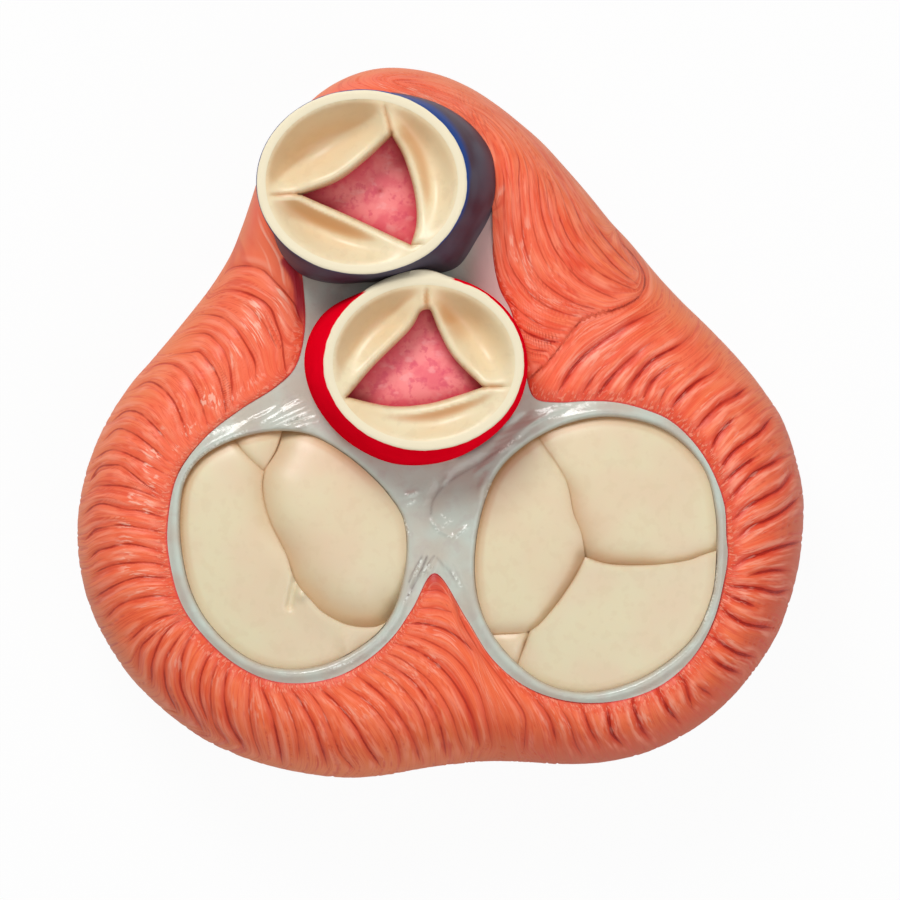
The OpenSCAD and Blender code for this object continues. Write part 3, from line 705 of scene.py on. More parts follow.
def vessel_paint(name, wall_code, edge_code, tint_code, brush, roughness, sheen):
    """Enamel on a vessel's wall: it stops in a hand-painted edge, and the rim above stays ivory."""
    paint, tree, shader = start_paint(name)
    rise = value_of(tree, "below_rim")
    ragged = product(tree, maths(tree, "SUBTRACT", object_noise(tree, 2.6, 5.0), 0.5), brush)
    painted = step_between(tree, maths(tree, "ADD", rise, ragged), 0.14, 0.22)
    clouds = object_noise(tree, 8.0)
    wall = mix(tree, step_between(tree, clouds, 0.4, 0.65), linear(wall_code), linear(tint_code))
    wall = mix(tree, value_of(tree, "edge"), wall, linear(edge_code))
    painted = product(tree, painted, maths(tree, "SUBTRACT", 1.0, value_of(tree, "bare")))
    tree.links.new(mix(tree, painted, linear("e4d9bd"), wall), shader.inputs["Base Color"])
    shader.inputs["Roughness"].default_value = roughness
    shader.inputs["Specular IOR Level"].default_value = sheen
    return paint


def lumen_paint():
    """Gloss pink enamel on the floor of a vessel, mottled, with darker magenta painted along the cusps as
    their shade.
    """
    paint, tree, shader = start_paint("gloss_enamel_lumen_pink")
    clouds = step_between(tree, object_noise(tree, 2.6, 3.0), 0.38, 0.62)
    body = coats(tree, mix(tree, clouds, linear("f48a8c"), linear("ea6c78")), [
        (step_between(tree, object_noise(tree, 1.1, 4.0), 0.50, 0.64, 0.6), "dc4a68"),
        (step_between(tree, object_noise(tree, 2.0, 2.0, (1, 1.4, 1)), 0.55, 0.70, 0.5), "f5a9a9"),
        (value_of(tree, "edge"), "c0203a"),
    ])
    tree.links.new(body, shader.inputs["Base Color"])
    shader.inputs["Roughness"].default_value = 0.4
    return paint


def plate_plastic():
    """Moulded buff ABS of the plate in the underside: matt, with faint mould grain."""
    paint, tree, shader = start_paint("moulded_abs_buff_plate")
    grain = object_noise(tree, 0.5)
    tree.links.new(mix(tree, grain, linear("c9b48f"), linear("c2ac86")), shader.inputs["Base Color"])
    shader.inputs["Roughness"].default_value = 0.6
    return paint


muscle = muscle_paint()
web_grey = web_paint()
cream = cream_paint("satin_enamel_ivory_leaflets", "d9cdab", "dac5a6", "c4966a")
pocket_cream = cream_paint("satin_enamel_ivory_pockets", "e3d3b0", "e2caa2", "cc9c6a")
aorta_red = vessel_paint("gloss_enamel_aorta_red", "f20422", "e00420", "e8021e", 0.5, 0.35, 0.0)
trunk_blue = vessel_paint("gloss_enamel_trunk_blue", "504a58", "1c4088", "452d3c", 0.25, 0.40, 0.06)
lumen_pink = lumen_paint()
plate_buff = plate_plastic()


# ---------------------------------------------------------------- muscle wall

def skin_profile(length):
    """How far out from the web and how high the skin is, in even steps, for each column."""
    samples = np.linspace(0, 1, 400)
    out = length[:, None] * (1 - (1 - samples) ** 2)
    shoulder = np.minimum(CROWN_INSET, 0.9 * length)[:, None]
    rolled = np.clip((out - length[:, None] + shoulder) / shoulder, 0, 1)
    top = CROWN_Z - (CROWN_Z - CREVICE_Z) * np.exp(-(out / 1.0) ** 1.5)
    height = WIDEST_Z + (top - WIDEST_Z) * np.sqrt(1 - rolled ** 2)
    run = np.hypot(np.diff(out, axis=1), np.diff(height, axis=1)).cumsum(axis=1)
    run = np.column_stack([np.zeros(len(run)), run])
    marks = np.linspace(0, 1, TOP_ROWS)
    far = np.stack([np.interp(marks * r[-1], r, o) for r, o in zip(run, out)])
    high = np.stack([np.interp(marks * r[-1], r, h) for r, h in zip(run, height)])
    return far, high


def even_flow(skin, lines, values, sweeps=1400):
    """A field over the skin that keeps each line's value along it and is even between them."""
    columns, rows = skin.shape[:2]
    finder = kdtree.KDTree(columns * rows)
    for number, place in enumerate(skin.reshape(-1, 2)):
        finder.insert((place[0], place[1], 0), number)
    finder.balance()
    fixed = np.full(columns * rows, np.nan)
    middles = []
    for line, value in zip(lines, values):
        found = [finder.find((x, y, 0))[1] for x, y in even(line, 0.2)]
        fixed[found] = value
        middles.append(np.mean(np.array(found) // rows))
    fixed = fixed.reshape(columns, rows)
    known = ~np.isnan(fixed)
    start = np.interp(np.arange(columns), np.maximum.accumulate(middles), values)
    field = np.where(known, fixed, start[:, None])
    for sweep in range(sweeps):
        wide = np.pad(field, 1, mode="edge")
        field = (wide[:-2, 1:-1] + wide[2:, 1:-1] + wide[1:-1, :-2] + wide[1:-1, 2:]) / 4
        if sweep < sweeps - 8:
            field[known] = fixed[known]
    return field


def spacings(lines):
    """Where each line of a row of lines comes, in millimetres across the row."""
    steps = [np.mean(gap_to(b, longer(a, 10))) for a, b in zip(lines, lines[1:])]
    return np.r_[0, np.cumsum(np.clip(steps, 1.2, 6.0))]


def to_web(line, border):
    """The line with its inner end led on towards the web, the way its fibres run."""
    last = line[-1] - line[-5]
    nearest = border[np.argmin(np.linalg.norm(border - line[-1], axis=1))] - line[-1]
    reach = np.linalg.norm(nearest)
    if reach < 0.6:
        return line
    ahead = last / np.linalg.norm(last) + 1.2 * nearest / reach
    return np.vstack([line, line[-1] + ahead / np.linalg.norm(ahead) * (reach + 0.5)])


# The fibres' sizes in millimetres, by the names of the tree's inputs.
FIBRE_SIZES = {
    "Bundle width": 1.5,
    "Bundle length": 70.0,
    "Bundle depth": 0.14,
    "Fibre width": 0.7,
    "Fibre length": 6.0,
    "Fibre depth": 0.14,
    "Fold depth": 0.24,
}


def fibre_tree():
    """Geometry Nodes: lays muscle bundles and fine fibres along the flow of a skin."""
    tree = bpy.data.node_groups.new("muscle_fibres", "GeometryNodeTree")
    face = tree.interface
    face.new_socket("Geometry", in_out="INPUT", socket_type="NodeSocketGeometry")
    for label in FIBRE_SIZES:
        face.new_socket(label, in_out="INPUT", socket_type="NodeSocketFloat")
    face.new_socket("Paint", in_out="INPUT", socket_type="NodeSocketMaterial")
    face.new_socket("Geometry", in_out="OUTPUT", socket_type="NodeSocketGeometry")
    size = add(tree, "NodeGroupInput").outputs

    def carried(label):
        """A value that the skin's points carry."""
        kind = "GeometryNodeInputNamedAttribute"
        return add(tree, kind, {"data_type": "FLOAT"}, {"Name": label}).outputs[0]

    flow, along = carried("flow"), carried("along")

    def drawn_out(width, length, detail):
        """Noise along the flow, of a width and length from the tree's inputs."""
        across = maths(tree, "DIVIDE", flow, size[width])
        down = maths(tree, "DIVIDE", along, size[length])
        place = add(tree, "ShaderNodeCombineXYZ", inputs={0: across, 1: down}).outputs[0]
        inputs = {"Vector": place, "Scale": 1.0, "Detail": detail}
        return add(tree, "ShaderNodeTexNoise", {"noise_dimensions": "2D"}, inputs).outputs[0]

    from_border = maths(tree, "SUBTRACT", drawn_out("Bundle width", "Bundle length", 1.0), 0.5)
    fine = drawn_out("Fibre width", "Fibre length", 2.0)
    hollow = product(
        tree,
        step_between(tree, maths(tree, "ABSOLUTE", from_border), 0.05, 0.0),
        step_between(tree, fine, 0.38, 0.58),
    )
    outwards = step_between(tree, carried("reach"), 0.0, 0.9)
    sunk = product(tree, hollow, size["Bundle depth"], maths(tree, "ADD", outwards, 0.35))
    raised = product(tree, maths(tree, "SUBTRACT", fine, 0.5), size["Fibre depth"])
    folded = product(tree, carried("fold"), size["Fold depth"])
    offset = maths(tree, "ADD", maths(tree, "SUBTRACT", raised, sunk), folded)
    offset = product(tree, offset, carried("skin"), MM)
    normal = add(tree, "GeometryNodeInputNormal").outputs[0]
    push = add(tree, "ShaderNodeVectorMath", {"operation": "SCALE"}, {0: normal, "Scale": offset}).outputs[0]
    moved = add(tree, "GeometryNodeSetPosition", inputs={"Geometry": size["Geometry"], "Offset": push})
    # the hollows' share, which the paint darkens as painted shade
    stored = add(
        tree, "GeometryNodeStoreNamedAttribute", {"data_type": "FLOAT", "domain": "POINT"},
        {"Geometry": moved.outputs[0], "Name": "hollow",
         "Value": product(tree, hollow, maths(tree, "ADD", outwards, 0.3))},
    )
    real = add(tree, "GeometryNodeRealizeInstances", inputs={"Geometry": stored.outputs[0]})
    coated = add(
        tree, "GeometryNodeSetMaterial", inputs={"Geometry": real.outputs[0], "Material": size["Paint"]}
    )
    add(tree, "NodeGroupOutput", inputs={"Geometry": coated.outputs[0]})
    return tree


def grow(piece, tree, sizes):
    """Runs a Geometry Nodes tree on a piece and keeps the result as a plain mesh."""
    modifier = piece.modifiers.new(tree.name, "NODES")
    modifier.node_group = tree
    for item in tree.interface.items_tree:
        if item.in_out == "INPUT" and item.name in sizes:
            modifier[item.identifier] = sizes[item.name]
    graph = bpy.context.evaluated_depsgraph_get()
    made = bpy.data.meshes.new_from_object(
        piece.evaluated_get(graph), preserve_all_data_layers=True, depsgraph=graph
    )
    piece.modifiers.remove(modifier)
    piece.data = made


def wall_rings(outer, inner, skin, high):
    """The wall's rings of points: the deck's edge, the skin from the web to the outline, the side
    down to the table, and the rim that the plate sits in."""
    tangent = np.roll(outer, -3, axis=0) - np.roll(outer, 3, axis=0)
    normal = np.column_stack([tangent[:, 1], -tangent[:, 0]])
    normal /= np.linalg.norm(normal, axis=1)[:, None]
    levels = [(inner, DECK_Z)]
    levels += [(skin[:, row], high[:, row]) for row in range(TOP_ROWS)]
    for height in np.linspace(WIDEST_Z, 0, SIDE_ROWS + 1)[1:]:
        inset = FOOT_INSET * ((WIDEST_Z - height) / WIDEST_Z) ** 2
        levels.append((outer - normal * inset, height))
    foot = outer - normal * (FOOT_INSET + FOOT_RIM)
    levels += [(foot, 0.0), (foot, PLATE_Z)]
    return [np.column_stack([places, np.broadcast_to(z, SKIN_COLUMNS)]) for places, z in levels]


def fibre_flow(skin, outer, inner, seam, side_lines, front_lines):
    """A value that grows across the fibres, and which points the front bundles cover. The front's
    values start far above the others', so that no fibre runs on over the seam."""
    flat = skin.reshape(-1, 2)
    column = np.repeat(np.arange(SKIN_COLUMNS), TOP_ROWS)
    first_front, inner_seam = (
        np.argmin(np.hypot(*(edge - place).T)) for edge, place in zip((outer, inner), FRONT_STARTS)
    )
    beyond = to_line(flat, longer(seam, 6))[0] < 0
    late = column > min(first_front, inner_seam) - 90
    front = beyond & late | (column > first_front + 40)
    flow_lines = [to_web(line, inner) for line in side_lines] + [seam]
    side_flow = even_flow(skin, flow_lines, spacings(side_lines + [seam])).reshape(-1)
    across = 1.4 * spacings(front_lines)
    front_lines = front_lines + [outer[first_front:]]
    front_flow = even_flow(skin, front_lines, np.r_[across, across[-1] + 4], sweeps=900).reshape(-1)
    return np.where(front, front_flow + 400, side_flow), front


def groove_lines(side_lines, front_lines, seam):
    """Each groove with its strength, and between which distances from its inner end it appears."""
    whole, cut_short = (-1.5, 2.0), (6.0, 13.0)
    left, back = len(LEFT_GROOVES), len(LEFT_GROOVES + BACK_GROOVES)
    fan = [even(line, 1, count=60) for line in front_lines[3:]]
    half_way = [(a + b) / 2 for a, b in zip(fan, fan[1:])]
    lines = [(line, 0.8, whole) for line in side_lines[:left]]
    lines += [(side_lines[number], 0.85 - 0.3 * (number % 2), whole) for number in range(left, back)]
    lines += [(line, 1.3, whole) for line in side_lines[back:] + front_lines[:3]]
    lines += [(line, 0.6, whole) for line in front_lines[3:]]
    lines += [(line, 0.4, cut_short) for line in half_way]
    lines += [(seam, 0.7, whole)]
    return lines


def groove_marks(flat, lines):
    """What the grooves leave on each point: the marks that the paint reads, the distance to the
    nearest groove, and how far the skin folds up or down."""
    closest, second, strength, nearest = np.full((4, len(flat)), 9.0)
    marks = {label: np.zeros(len(flat)) for label in ("groove_painted_shade", "groove_painted_highlight", "cut", "plump")}
    for line, depth, soft_end in lines:
        gap, share = to_line(flat, line)
        away = np.abs(gap)
        run = np.linalg.norm(np.diff(line, axis=0), axis=1).sum()
        soft_start = 7.0 if line[0, 1] > 5 else 1.4
        fade = depth * ramp(share * run, -0.8, soft_start) * ramp((1 - share) * run, *soft_end)
        counted = away + 3 * ramp(fade, 0.12, 0.0)      # a line that has faded out isn't in the way
        closer = counted < closest
        second = np.where(closer, closest, np.minimum(second, counted))
        closest = np.where(closer, counted, closest)
        nearest = np.where(closer, gap, nearest)
        strength = np.where(closer, fade, strength)
        # Painted shade in each groove, and painted highlights on the flanks beside it.
        profiles = {
            "groove_painted_shade": fade * ramp(away, 1.1, 0.1),
            "groove_painted_highlight": fade * ramp(away, 0.35, 0.75) * ramp(away, 1.7, 0.9),
            "cut": fade * (0.5 * bump(away, 0.5) + 0.5 * (1 - np.minimum(away / 1.6, 1)) ** 2),
            "plump": fade * bump(away - 1.2, 0.75),
        }
        for label, profile in profiles.items():
            marks[label] = np.maximum(marks[label], profile)
    # Half way between two lines the distance changes sides, so no line may show there.
    marks["groove_line"] = strength * ramp(np.abs(nearest), 0.95, 0.6) * ramp(second - closest, 0.3, 0.8)
    fold = 0.35 * marks.pop("plump") - marks.pop("cut")
    return marks, nearest, fold


def over_rows(top_values, inside, below):
    """Values of the skin's points for all rings: a share of the first row's on the deck's edge,
    and the last row's fading to what below takes off at the table."""
    top = np.asarray(top_values, float).reshape(SKIN_COLUMNS, TOP_ROWS)
    last = top[:, -1]
    rows = [top[:, 0] * inside] + [top[:, row] for row in range(TOP_ROWS)]
    rows += [last * (1 - below * (row + 1) / SIDE_ROWS) for row in range(SIDE_ROWS)]
    rows += [last * (1 - below)] * 2
    return np.concatenate(rows)


def muscle_wall():
    """The muscle wall from the deck's edge over the crown to the table, and its edge at the web."""
    edges = smooth(SKIN_EDGES, 1.0, closed=True, count=SKIN_COLUMNS)
    outer, inner = edges[:, :2], stand(edges[:, 2:], CREVICE_Z)
    length = np.linalg.norm(outer - inner, axis=1)
    outwards = (outer - inner) / length[:, None]
    far, high = skin_profile(length)
    skin = inner[:, None, :] + outwards[:, None, :] * far[:, :, None]
    flat = skin.reshape(-1, 2)
    rings = wall_rings(outer, inner, skin, high)

    seam = smooth(stand(SEAM, GROOVE_Z), 0.5)
    pixel_lines = LEFT_GROOVES + BACK_GROOVES + RIGHT_GROOVES
    side_lines = [smooth(stand(read(line), GROOVE_Z), 0.5) for line in pixel_lines]
    front_lines = [smooth(stand(line, GROOVE_Z), 0.5) for line in FRONT_GROOVES]
    flow, front = fibre_flow(skin, outer, inner, seam, side_lines, front_lines)
    along = np.where(front, 0.7 * (flat[:, 0] - flat[:, 1]), far.reshape(-1))
    marks, nearest, fold = groove_marks(flat, groove_lines(side_lines, front_lines, seam))
    notch = np.linalg.norm(flat - stand(read([NOTCH_APEX]), CREVICE_Z)[0], axis=1)
    # Painted shade: dark red in the crevice beside the trunk and at the notch's apex.
    gap, share = to_line(flat, smooth(stand(read(CREVICE_SHADE), CREVICE_Z), 0.5))
    shade = 0.95 * ramp(np.abs(gap), 1.0, 0.45) * ramp(share, 1.0, 0.6) + 0.8 * bump(notch, 2.0)

    reach = far / length[:, None]
    calm = ramp(reach.reshape(-1), 0.75, 1.0) * (0.22 + 0.6 * ramp(flat[:, 1], -2, 8))
    skin_share = ramp(far.reshape(-1), 0.0, 1.0) * (1 - calm)
    side_falls = WIDEST_Z * np.arange(1, SIDE_ROWS + 1) / SIDE_ROWS
    down = np.repeat(np.r_[np.zeros(TOP_ROWS + 1), side_falls, WIDEST_Z, WIDEST_Z], SKIN_COLUMNS)
    in_front = over_rows(front, 1, 0)       # here the fibres run round the wall, elsewhere down it
    values = {
        "flow": over_rows(flow, 1, 0) + down * in_front,
        "along": over_rows(along, 1, 0) + down * (1 - in_front),
        "shade": over_rows(shade, 1, 1),
        "groove_gap": over_rows(nearest, 1, 0),
        "fold": over_rows(fold, 0, 0.6),
        "reach": over_rows(reach, 1, 0),
        "skin": over_rows(skin_share, 0, 1),
        "from_web": over_rows(far, 1, 0),
    }
    values.update({label: over_rows(mark, 1, 0.5) for label, mark in marks.items()})

    faces = []
    for number in range(len(rings) - 1):
        here, there = number * SKIN_COLUMNS, (number + 1) * SKIN_COLUMNS
        for k in range(SKIN_COLUMNS):
            next_k = (k + 1) % SKIN_COLUMNS
            faces.append((here + k, there + k, there + next_k, here + next_k))
    last = (len(rings) - 1) * SKIN_COLUMNS
    faces.append(tuple(range(SKIN_COLUMNS)))
    faces.append(tuple(last + k for k in reversed(range(SKIN_COLUMNS))))
    piece = make_object("muscle_wall", np.vstack(rings), faces, values, sharp=70)
    grow(piece, fibre_tree(), {**FIBRE_SIZES, "Paint": muscle})
    return piece, inner


wall, web_border = muscle_wall()


# ---------------------------------------------------------------- web

mitral_opening = smooth(stand(read(MITRAL_OPENING), WEB_Z)[::-1], 0.4, closed=True)
tricuspid_opening = smooth(stand(read(TRICUSPID_OPENING), WEB_Z)[::-1], 0.4, closed=True)


def web():
    """The grey web: a rounded ring about each large valve, and thin skin with folds between them."""
    border = even(np.vstack([web_border, web_border[:1]]), 0.45, closed=True)
    end_under_trunk = 31.0
    folds = [(stand(read([a, b]), WEB_Z), high, wide) for a, b, high, wide in WEB_FOLDS]

    def keep(points):
        kept = within(points, border) & (points[:, 1] < end_under_trunk)
        return kept & ~within(points, mitral_opening) & ~within(points, tricuspid_opening)

    valley = smooth(stand(read(WEB_VALLEY), WEB_Z), 0.5)
    shadows = [(smooth(stand(read(line), WEB_Z), 0.5), wide, dark) for line, wide, dark in WEB_SHADOWS]
    glints = [stand(read(ends), WEB_Z) for ends in WEB_GLINTS]

    def surface(points):
        to_opening = np.minimum(gap_to(points, mitral_opening, True), gap_to(points, tricuspid_opening, True))
        to_muscle = gap_to(points, border, True)
        narrow = ramp(to_opening + to_muscle, 4.5, 2.2)
        lip = WEB_LIP * (0.5 + 0.5 * narrow)
        inner_flank = np.sqrt(1 - (1 - np.clip(to_opening / 0.75, 0, 1)) ** 2)
        crest = bump(np.maximum(to_opening - 0.7, 0), 0.9 + 0.9 * (1 - narrow))
        height = WEB_Z - 0.4 + (0.4 + lip * crest) * inner_flank - 0.08 * bump(to_muscle, 0.4)
        for line, high, wide in folds:
            gap, share = to_line(points, line)
            swell = 0.3 + 0.7 * np.sin(np.pi * np.clip(share, 0, 1))
            height = height + high * bump(np.abs(gap), wide) * swell
        gap, share = to_line(points, valley)
        fall = np.where(gap < 0, np.exp(-np.abs(gap) / 2.2), bump(gap, 0.9)) * np.sin(np.pi * share) ** 0.6
        height = height - 0.25 * fall * ramp(to_opening, 0.8, 2.0)
        # painted shade in the long hollow
        painted_shade = 0.40 * fall * ramp(to_opening, 0.5, 1.5)
        shadow = np.max([dark * bump(gap_to(points, line), wide) for line, wide, dark in shadows], axis=0)
        glint = np.max([bump(gap_to(points, line), 0.17) for line in glints], axis=0)
        front = ramp(points[:, 0], 3, 6) * ramp(points[:, 1], 12, 18)
        line = 0.5 * bump(to_opening, 0.2)
        return height, {"painted_shade": painted_shade, "front": front, "line": line, "shadow": shadow, "glint": glint}

    loops = [border, mitral_opening, tricuspid_opening]
    return relief("grey_web", loops, [], keep, surface, DECK_Z + 0.2, step=0.24)


web_piece = web()


# ---------------------------------------------------------------- leaflets

def leaflet(name, opening, creases, keep_side, flanks, dome=1.3, extra=None):
    """One leaflet of a closed valve: a low pillow that dips at the ring, deepest at its upper left,
    and at each crease. flanks gives each crease's depth and width on this leaflet at the crease's
    start and end, and how far the leaflet's lip stands up beside it at the start and end."""
    centre = opening.mean(axis=0)
    reach = np.linalg.norm(opening - centre, axis=1).mean()

    def keep(points):
        return within(points, opening) & keep_side(points)

    def surface(points):
        to_ring = gap_to(points, opening, True)
        arm = points - centre
        from_centre = np.linalg.norm(arm, axis=1)
        upper_left = np.clip((arm @ np.array([-0.55, 0.83])) / np.maximum(from_centre, 1), 0, 1)
        height = LEAFLET_Z + dome * (1 - (from_centre / reach) ** 2)
        height = height - (0.15 + 0.20 * upper_left) * np.exp(-(to_ring / (0.6 + 0.6 * upper_left)) ** 1.6)
        # Painted shade: a tan band along the ring, wider on the upper left where the ring's shadow falls, and
        # on each crease's flank; a dark line along the ring, mostly painted shadow on the upper left; and a
        # thin line along each crease.
        painted_shade = (0.12 + 0.38 * upper_left) * ramp(to_ring, 1.4, 0.9)
        line = (0.10 + 0.8 * upper_left) * bump(to_ring - 0.1, 0.38)
        for crease, flank in zip(creases, flanks):
            gap, share = to_line(points, crease)
            gap = np.abs(gap)
            later = ramp(share, 0.3, 0.6)
            deep, wide, lip = (first + (last - first) * later for first, last in flank)
            dip = np.exp(-(gap / wide) ** 1.3)
            height = height - deep * dip + lip * np.exp(-(gap / 2.4) ** 1.6)
            painted_shade = np.maximum(painted_shade, np.clip(deep, 0, 1) * 0.5 * dip)
            line = np.maximum(line, (deep > 0) * (0.5 - 0.35 * later) * bump(gap, 0.16))
        if extra:
            height = height + extra(points)
        return height, {"painted_shade": np.clip(painted_shade, 0, 1), "line": line, "warm_painted_shade": 0 * line}

    return relief(name, [opening], creases, keep, surface, DECK_Z + 1.0, step=0.3)


def crease_line(pixels):
    """A crease between leaflets, from its points in the picture."""
    return smooth(stand(read(pixels), WEB_Z), 0.4)


NO_CREASE = ((0, 0), (1, 1), (0, 0))


def same(deep, wide, lip=0.0):
    """A flank that is alike all along its crease."""
    return (deep, deep), (wide, wide), (lip, lip)


def mitral_valve():
    """The front leaflet, the back one with its cleft, and the small one in the corner."""
    crease = crease_line(MITRAL_CREASE)
    wedge = crease_line(MITRAL_WEDGE)
    meets = np.argmin(np.linalg.norm(crease - wedge[-1], axis=1))
    above = stand(read([(258, 412)]), WEB_Z)
    corner = np.vstack([wedge, crease[:meets + 1][::-1], above])
    cleft = crease_line(MITRAL_CLEFT)
    fold = crease_line(MITRAL_FOLD)
    tooth = stand(read([MITRAL_TOOTH]), WEB_Z)[0]

    def in_front(points):
        return (to_line(points, crease)[0] > 0) & ~within(points, corner)

    def behind(points):
        return (to_line(points, crease)[0] <= 0) & ~within(points, corner)

    def notch(points):
        raised = 0.55 * bump(np.linalg.norm(points - tooth, axis=1), 0.8)
        soft_fold = 0.3 * bump(gap_to(points, fold), 0.9)
        return raised + soft_fold - 0.7 * bump(gap_to(points, cleft), 0.55)

    creases = [crease, wedge]
    return [
        leaflet("mitral_front_leaflet", mitral_opening, creases, in_front,
                [((1.6, 2.2), (2.2, 3.4), (0, 0)), NO_CREASE], 2.1),
        leaflet("mitral_back_leaflet", mitral_opening, creases, behind,
                [((0.9, 0.15), (2.0, 0.35), (0, 0.5)), same(0.4, 0.5)], 1.4, notch),
        leaflet("mitral_corner_leaflet", mitral_opening, creases, lambda p: within(p, corner),
                [same(0.7, 1.6), same(0.6, 0.6)], 0.5),
    ]


def tricuspid_valve():
    """The front, septal and back leaflets, and the small one in the corner."""
    top = crease_line(TRICUSPID_TOP_CREASE)
    right = crease_line(TRICUSPID_RIGHT_CREASE)
    left = crease_line(TRICUSPID_LEFT_CREASE)
    small = crease_line(TRICUSPID_CUSP_CREASE)
    front_border = np.vstack([top, right[1:]])
    septal_border = np.vstack([top, left[1:]])

    def in_front(points):
        return to_line(points, front_border)[0] > 0

    def in_septal(points):
        return (to_line(points, septal_border)[0] <= 0) & ~in_front(points)

    def in_corner(points):
        left_over = ~in_front(points) & ~in_septal(points) & (points[:, 0] < small[0, 0] + 0.5)
        return left_over & (to_line(points, longer(small, 3))[0] <= 0)

    def behind(points):
        return ~in_front(points) & ~in_septal(points) & ~in_corner(points)

    creases = [top, right, left, small]
    return [
        leaflet("tricuspid_front_leaflet", tricuspid_opening, creases, in_front,
                [((0.3, 1.0), (0.6, 1.8), (0, 0)), ((1.3, 0.8), (1.8, 1.2), (0, 0)),
                 NO_CREASE, NO_CREASE], 1.4),
        leaflet("tricuspid_septal_leaflet", tricuspid_opening, creases, in_septal,
                [((0.3, 0.4), (0.6, 0.8), (0, 0)), NO_CREASE,
                 ((1.2, 0.9), (2.0, 1.2), (0, 0)), NO_CREASE], 1.4),
        leaflet("tricuspid_back_leaflet", tricuspid_opening, creases, behind,
                [NO_CREASE, same(0.15, 0.35, 0.35), same(0.15, 0.35, 0.4), same(0.4, 0.5)], 1.5),
        leaflet("tricuspid_corner_leaflet", tricuspid_opening, creases, in_corner,
                [NO_CREASE, NO_CREASE, same(0.4, 0.5), same(0.7, 0.6)], 0.9),
    ]


mitral_pieces = mitral_valve()
tricuspid_pieces = tricuspid_valve()


# ---------------------------------------------------------------- vessels

def around(widths, angles):
    """Values by direction in degrees, read round the full turn."""
    known = sorted(widths)
    degrees = np.degrees(angles) % 360
    values = [widths[k] for k in known]
    turned = [known[-1] - 360] + known + [known[0] + 360]
    return np.interp(degrees, turned, [values[-1]] + values + [values[0]])


def softened(ring, passes):
    """A closed row of values with its corners rounded off."""
    for _ in range(passes):
        ring = 0.25 * np.roll(ring, 1) + 0.5 * ring + 0.25 * np.roll(ring, -1)
    return ring


class Vessel:
    """The stump of one vessel: its rim, its leaning wall, and the places inside it."""

    def __init__(self, rim, shows, rim_z, count=260):
        self.rim_z = rim_z
        self.angles = np.linspace(0, 2 * math.pi, count, endpoint=False)
        self.outwards = np.column_stack([np.cos(self.angles), np.sin(self.angles)])
        half = np.array(rim["half"]) * PIXEL
        seen = read([rim["centre"]])[0] + self.outwards * half
        self.rim = stand(seen, rim_z)
        visible = softened(around(shows, self.angles) * PIXEL, 14)
        self.fullness = np.clip(visible / 1.5, 0.0, 1.0)    # an upright side doesn't swell
        self.foot = stand(seen + self.outwards * visible[:, None], WEB_Z)

    def ring(self, height, inset=0.0, bulge=0.0):
        rise = min(max((height - WEB_Z) / (self.rim_z - WEB_Z), 0), 1)
        out = bulge * self.fullness - inset
        place = self.foot + (self.rim - self.foot) * rise + self.outwards * out[:, None]
        return np.column_stack([place, np.full(len(place), height)])

    def inner_loop(self, step, drop=0.0, inset=RIM_WIDTH):
        loop = self.ring(self.rim_z - drop, inset)[:, :2]
        return even(np.vstack([loop, loop[:1]]), step, closed=True)


def root(name, vessel, bare_from, bare_to, edge_depths, ledge=None):
    """A vessel's stump. Its wall is left bare between two directions, where a ledge may join the
    next vessel; ledge gives its width by direction, and edge_depths how far down the rim's
    darker edge colour reaches."""
    top = vessel.rim_z
    reach = softened(around(ledge or {0: 0.0}, vessel.angles), 12)
    # Each ring's height, how far it is drawn in, how far it bulges, and its depth below the rim.
    plan = [(ROOT_FOOT_Z, 0.0, 0.0, 14.0)]
    for share in (0.0, 0.1, 0.2, 0.3, 0.4, 0.5, 0.6, 0.7, 0.78, 0.86, 0.92):
        height = WEB_Z + (top - WEB_Z) * share
        plan.append((height, 0.0, 0.5 * math.sin(math.pi * share), top - height))
    plan += [
        (top - 0.45, 0.02, 0.0, 0.45), (top - 0.2, 0.08, 0.0, 0.25), (top - 0.05, 0.22, 0.0, 0.05),
        (top, 0.42, 0.0, -0.2), (top, 0.7, 0.0, -0.5), (top - 0.02, 1.0, 0.0, -0.8),
        (top - 0.05, 1.2, 0.0, -1.1), (top - 0.1, RIM_WIDTH, 0.0, -1.3), (top - 2.0, RIM_WIDTH, 0.0, -3),
        (top - 6.0, RIM_WIDTH, 0.0, -4), (LUMEN_FLOOR_Z - 1.0, RIM_WIDTH, 0.0, -5),
        (ROOT_FOOT_Z, RIM_WIDTH, 0.0, -5),
    ]
    rings = [vessel.ring(height, inset, bulge) for height, inset, bulge, _ in plan]
    for number, (height, *_, below) in enumerate(plan):
        held = ramp(below, 0.2, 0.45) * ramp(below, 6.0, 3.5)
        rings[number][:, :2] += vessel.outwards * (reach * held)[:, None]
    below = np.concatenate([np.full(len(vessel.angles), rise) for *_, rise in plan])
    degrees = np.degrees(vessel.angles)
    window = ramp(degrees, bare_from - 2, bare_from) * ramp(degrees, bare_to + 2, bare_to)
    bare = np.concatenate([window for _ in plan])
    depth = around(edge_depths, vessel.angles)
    edge = np.concatenate([1 - ramp(np.full(len(depth), rise), 0.35 * depth, depth) for *_, rise in plan])
    return sleeve(name, rings, {"below_rim": below, "bare": bare, "edge": edge})


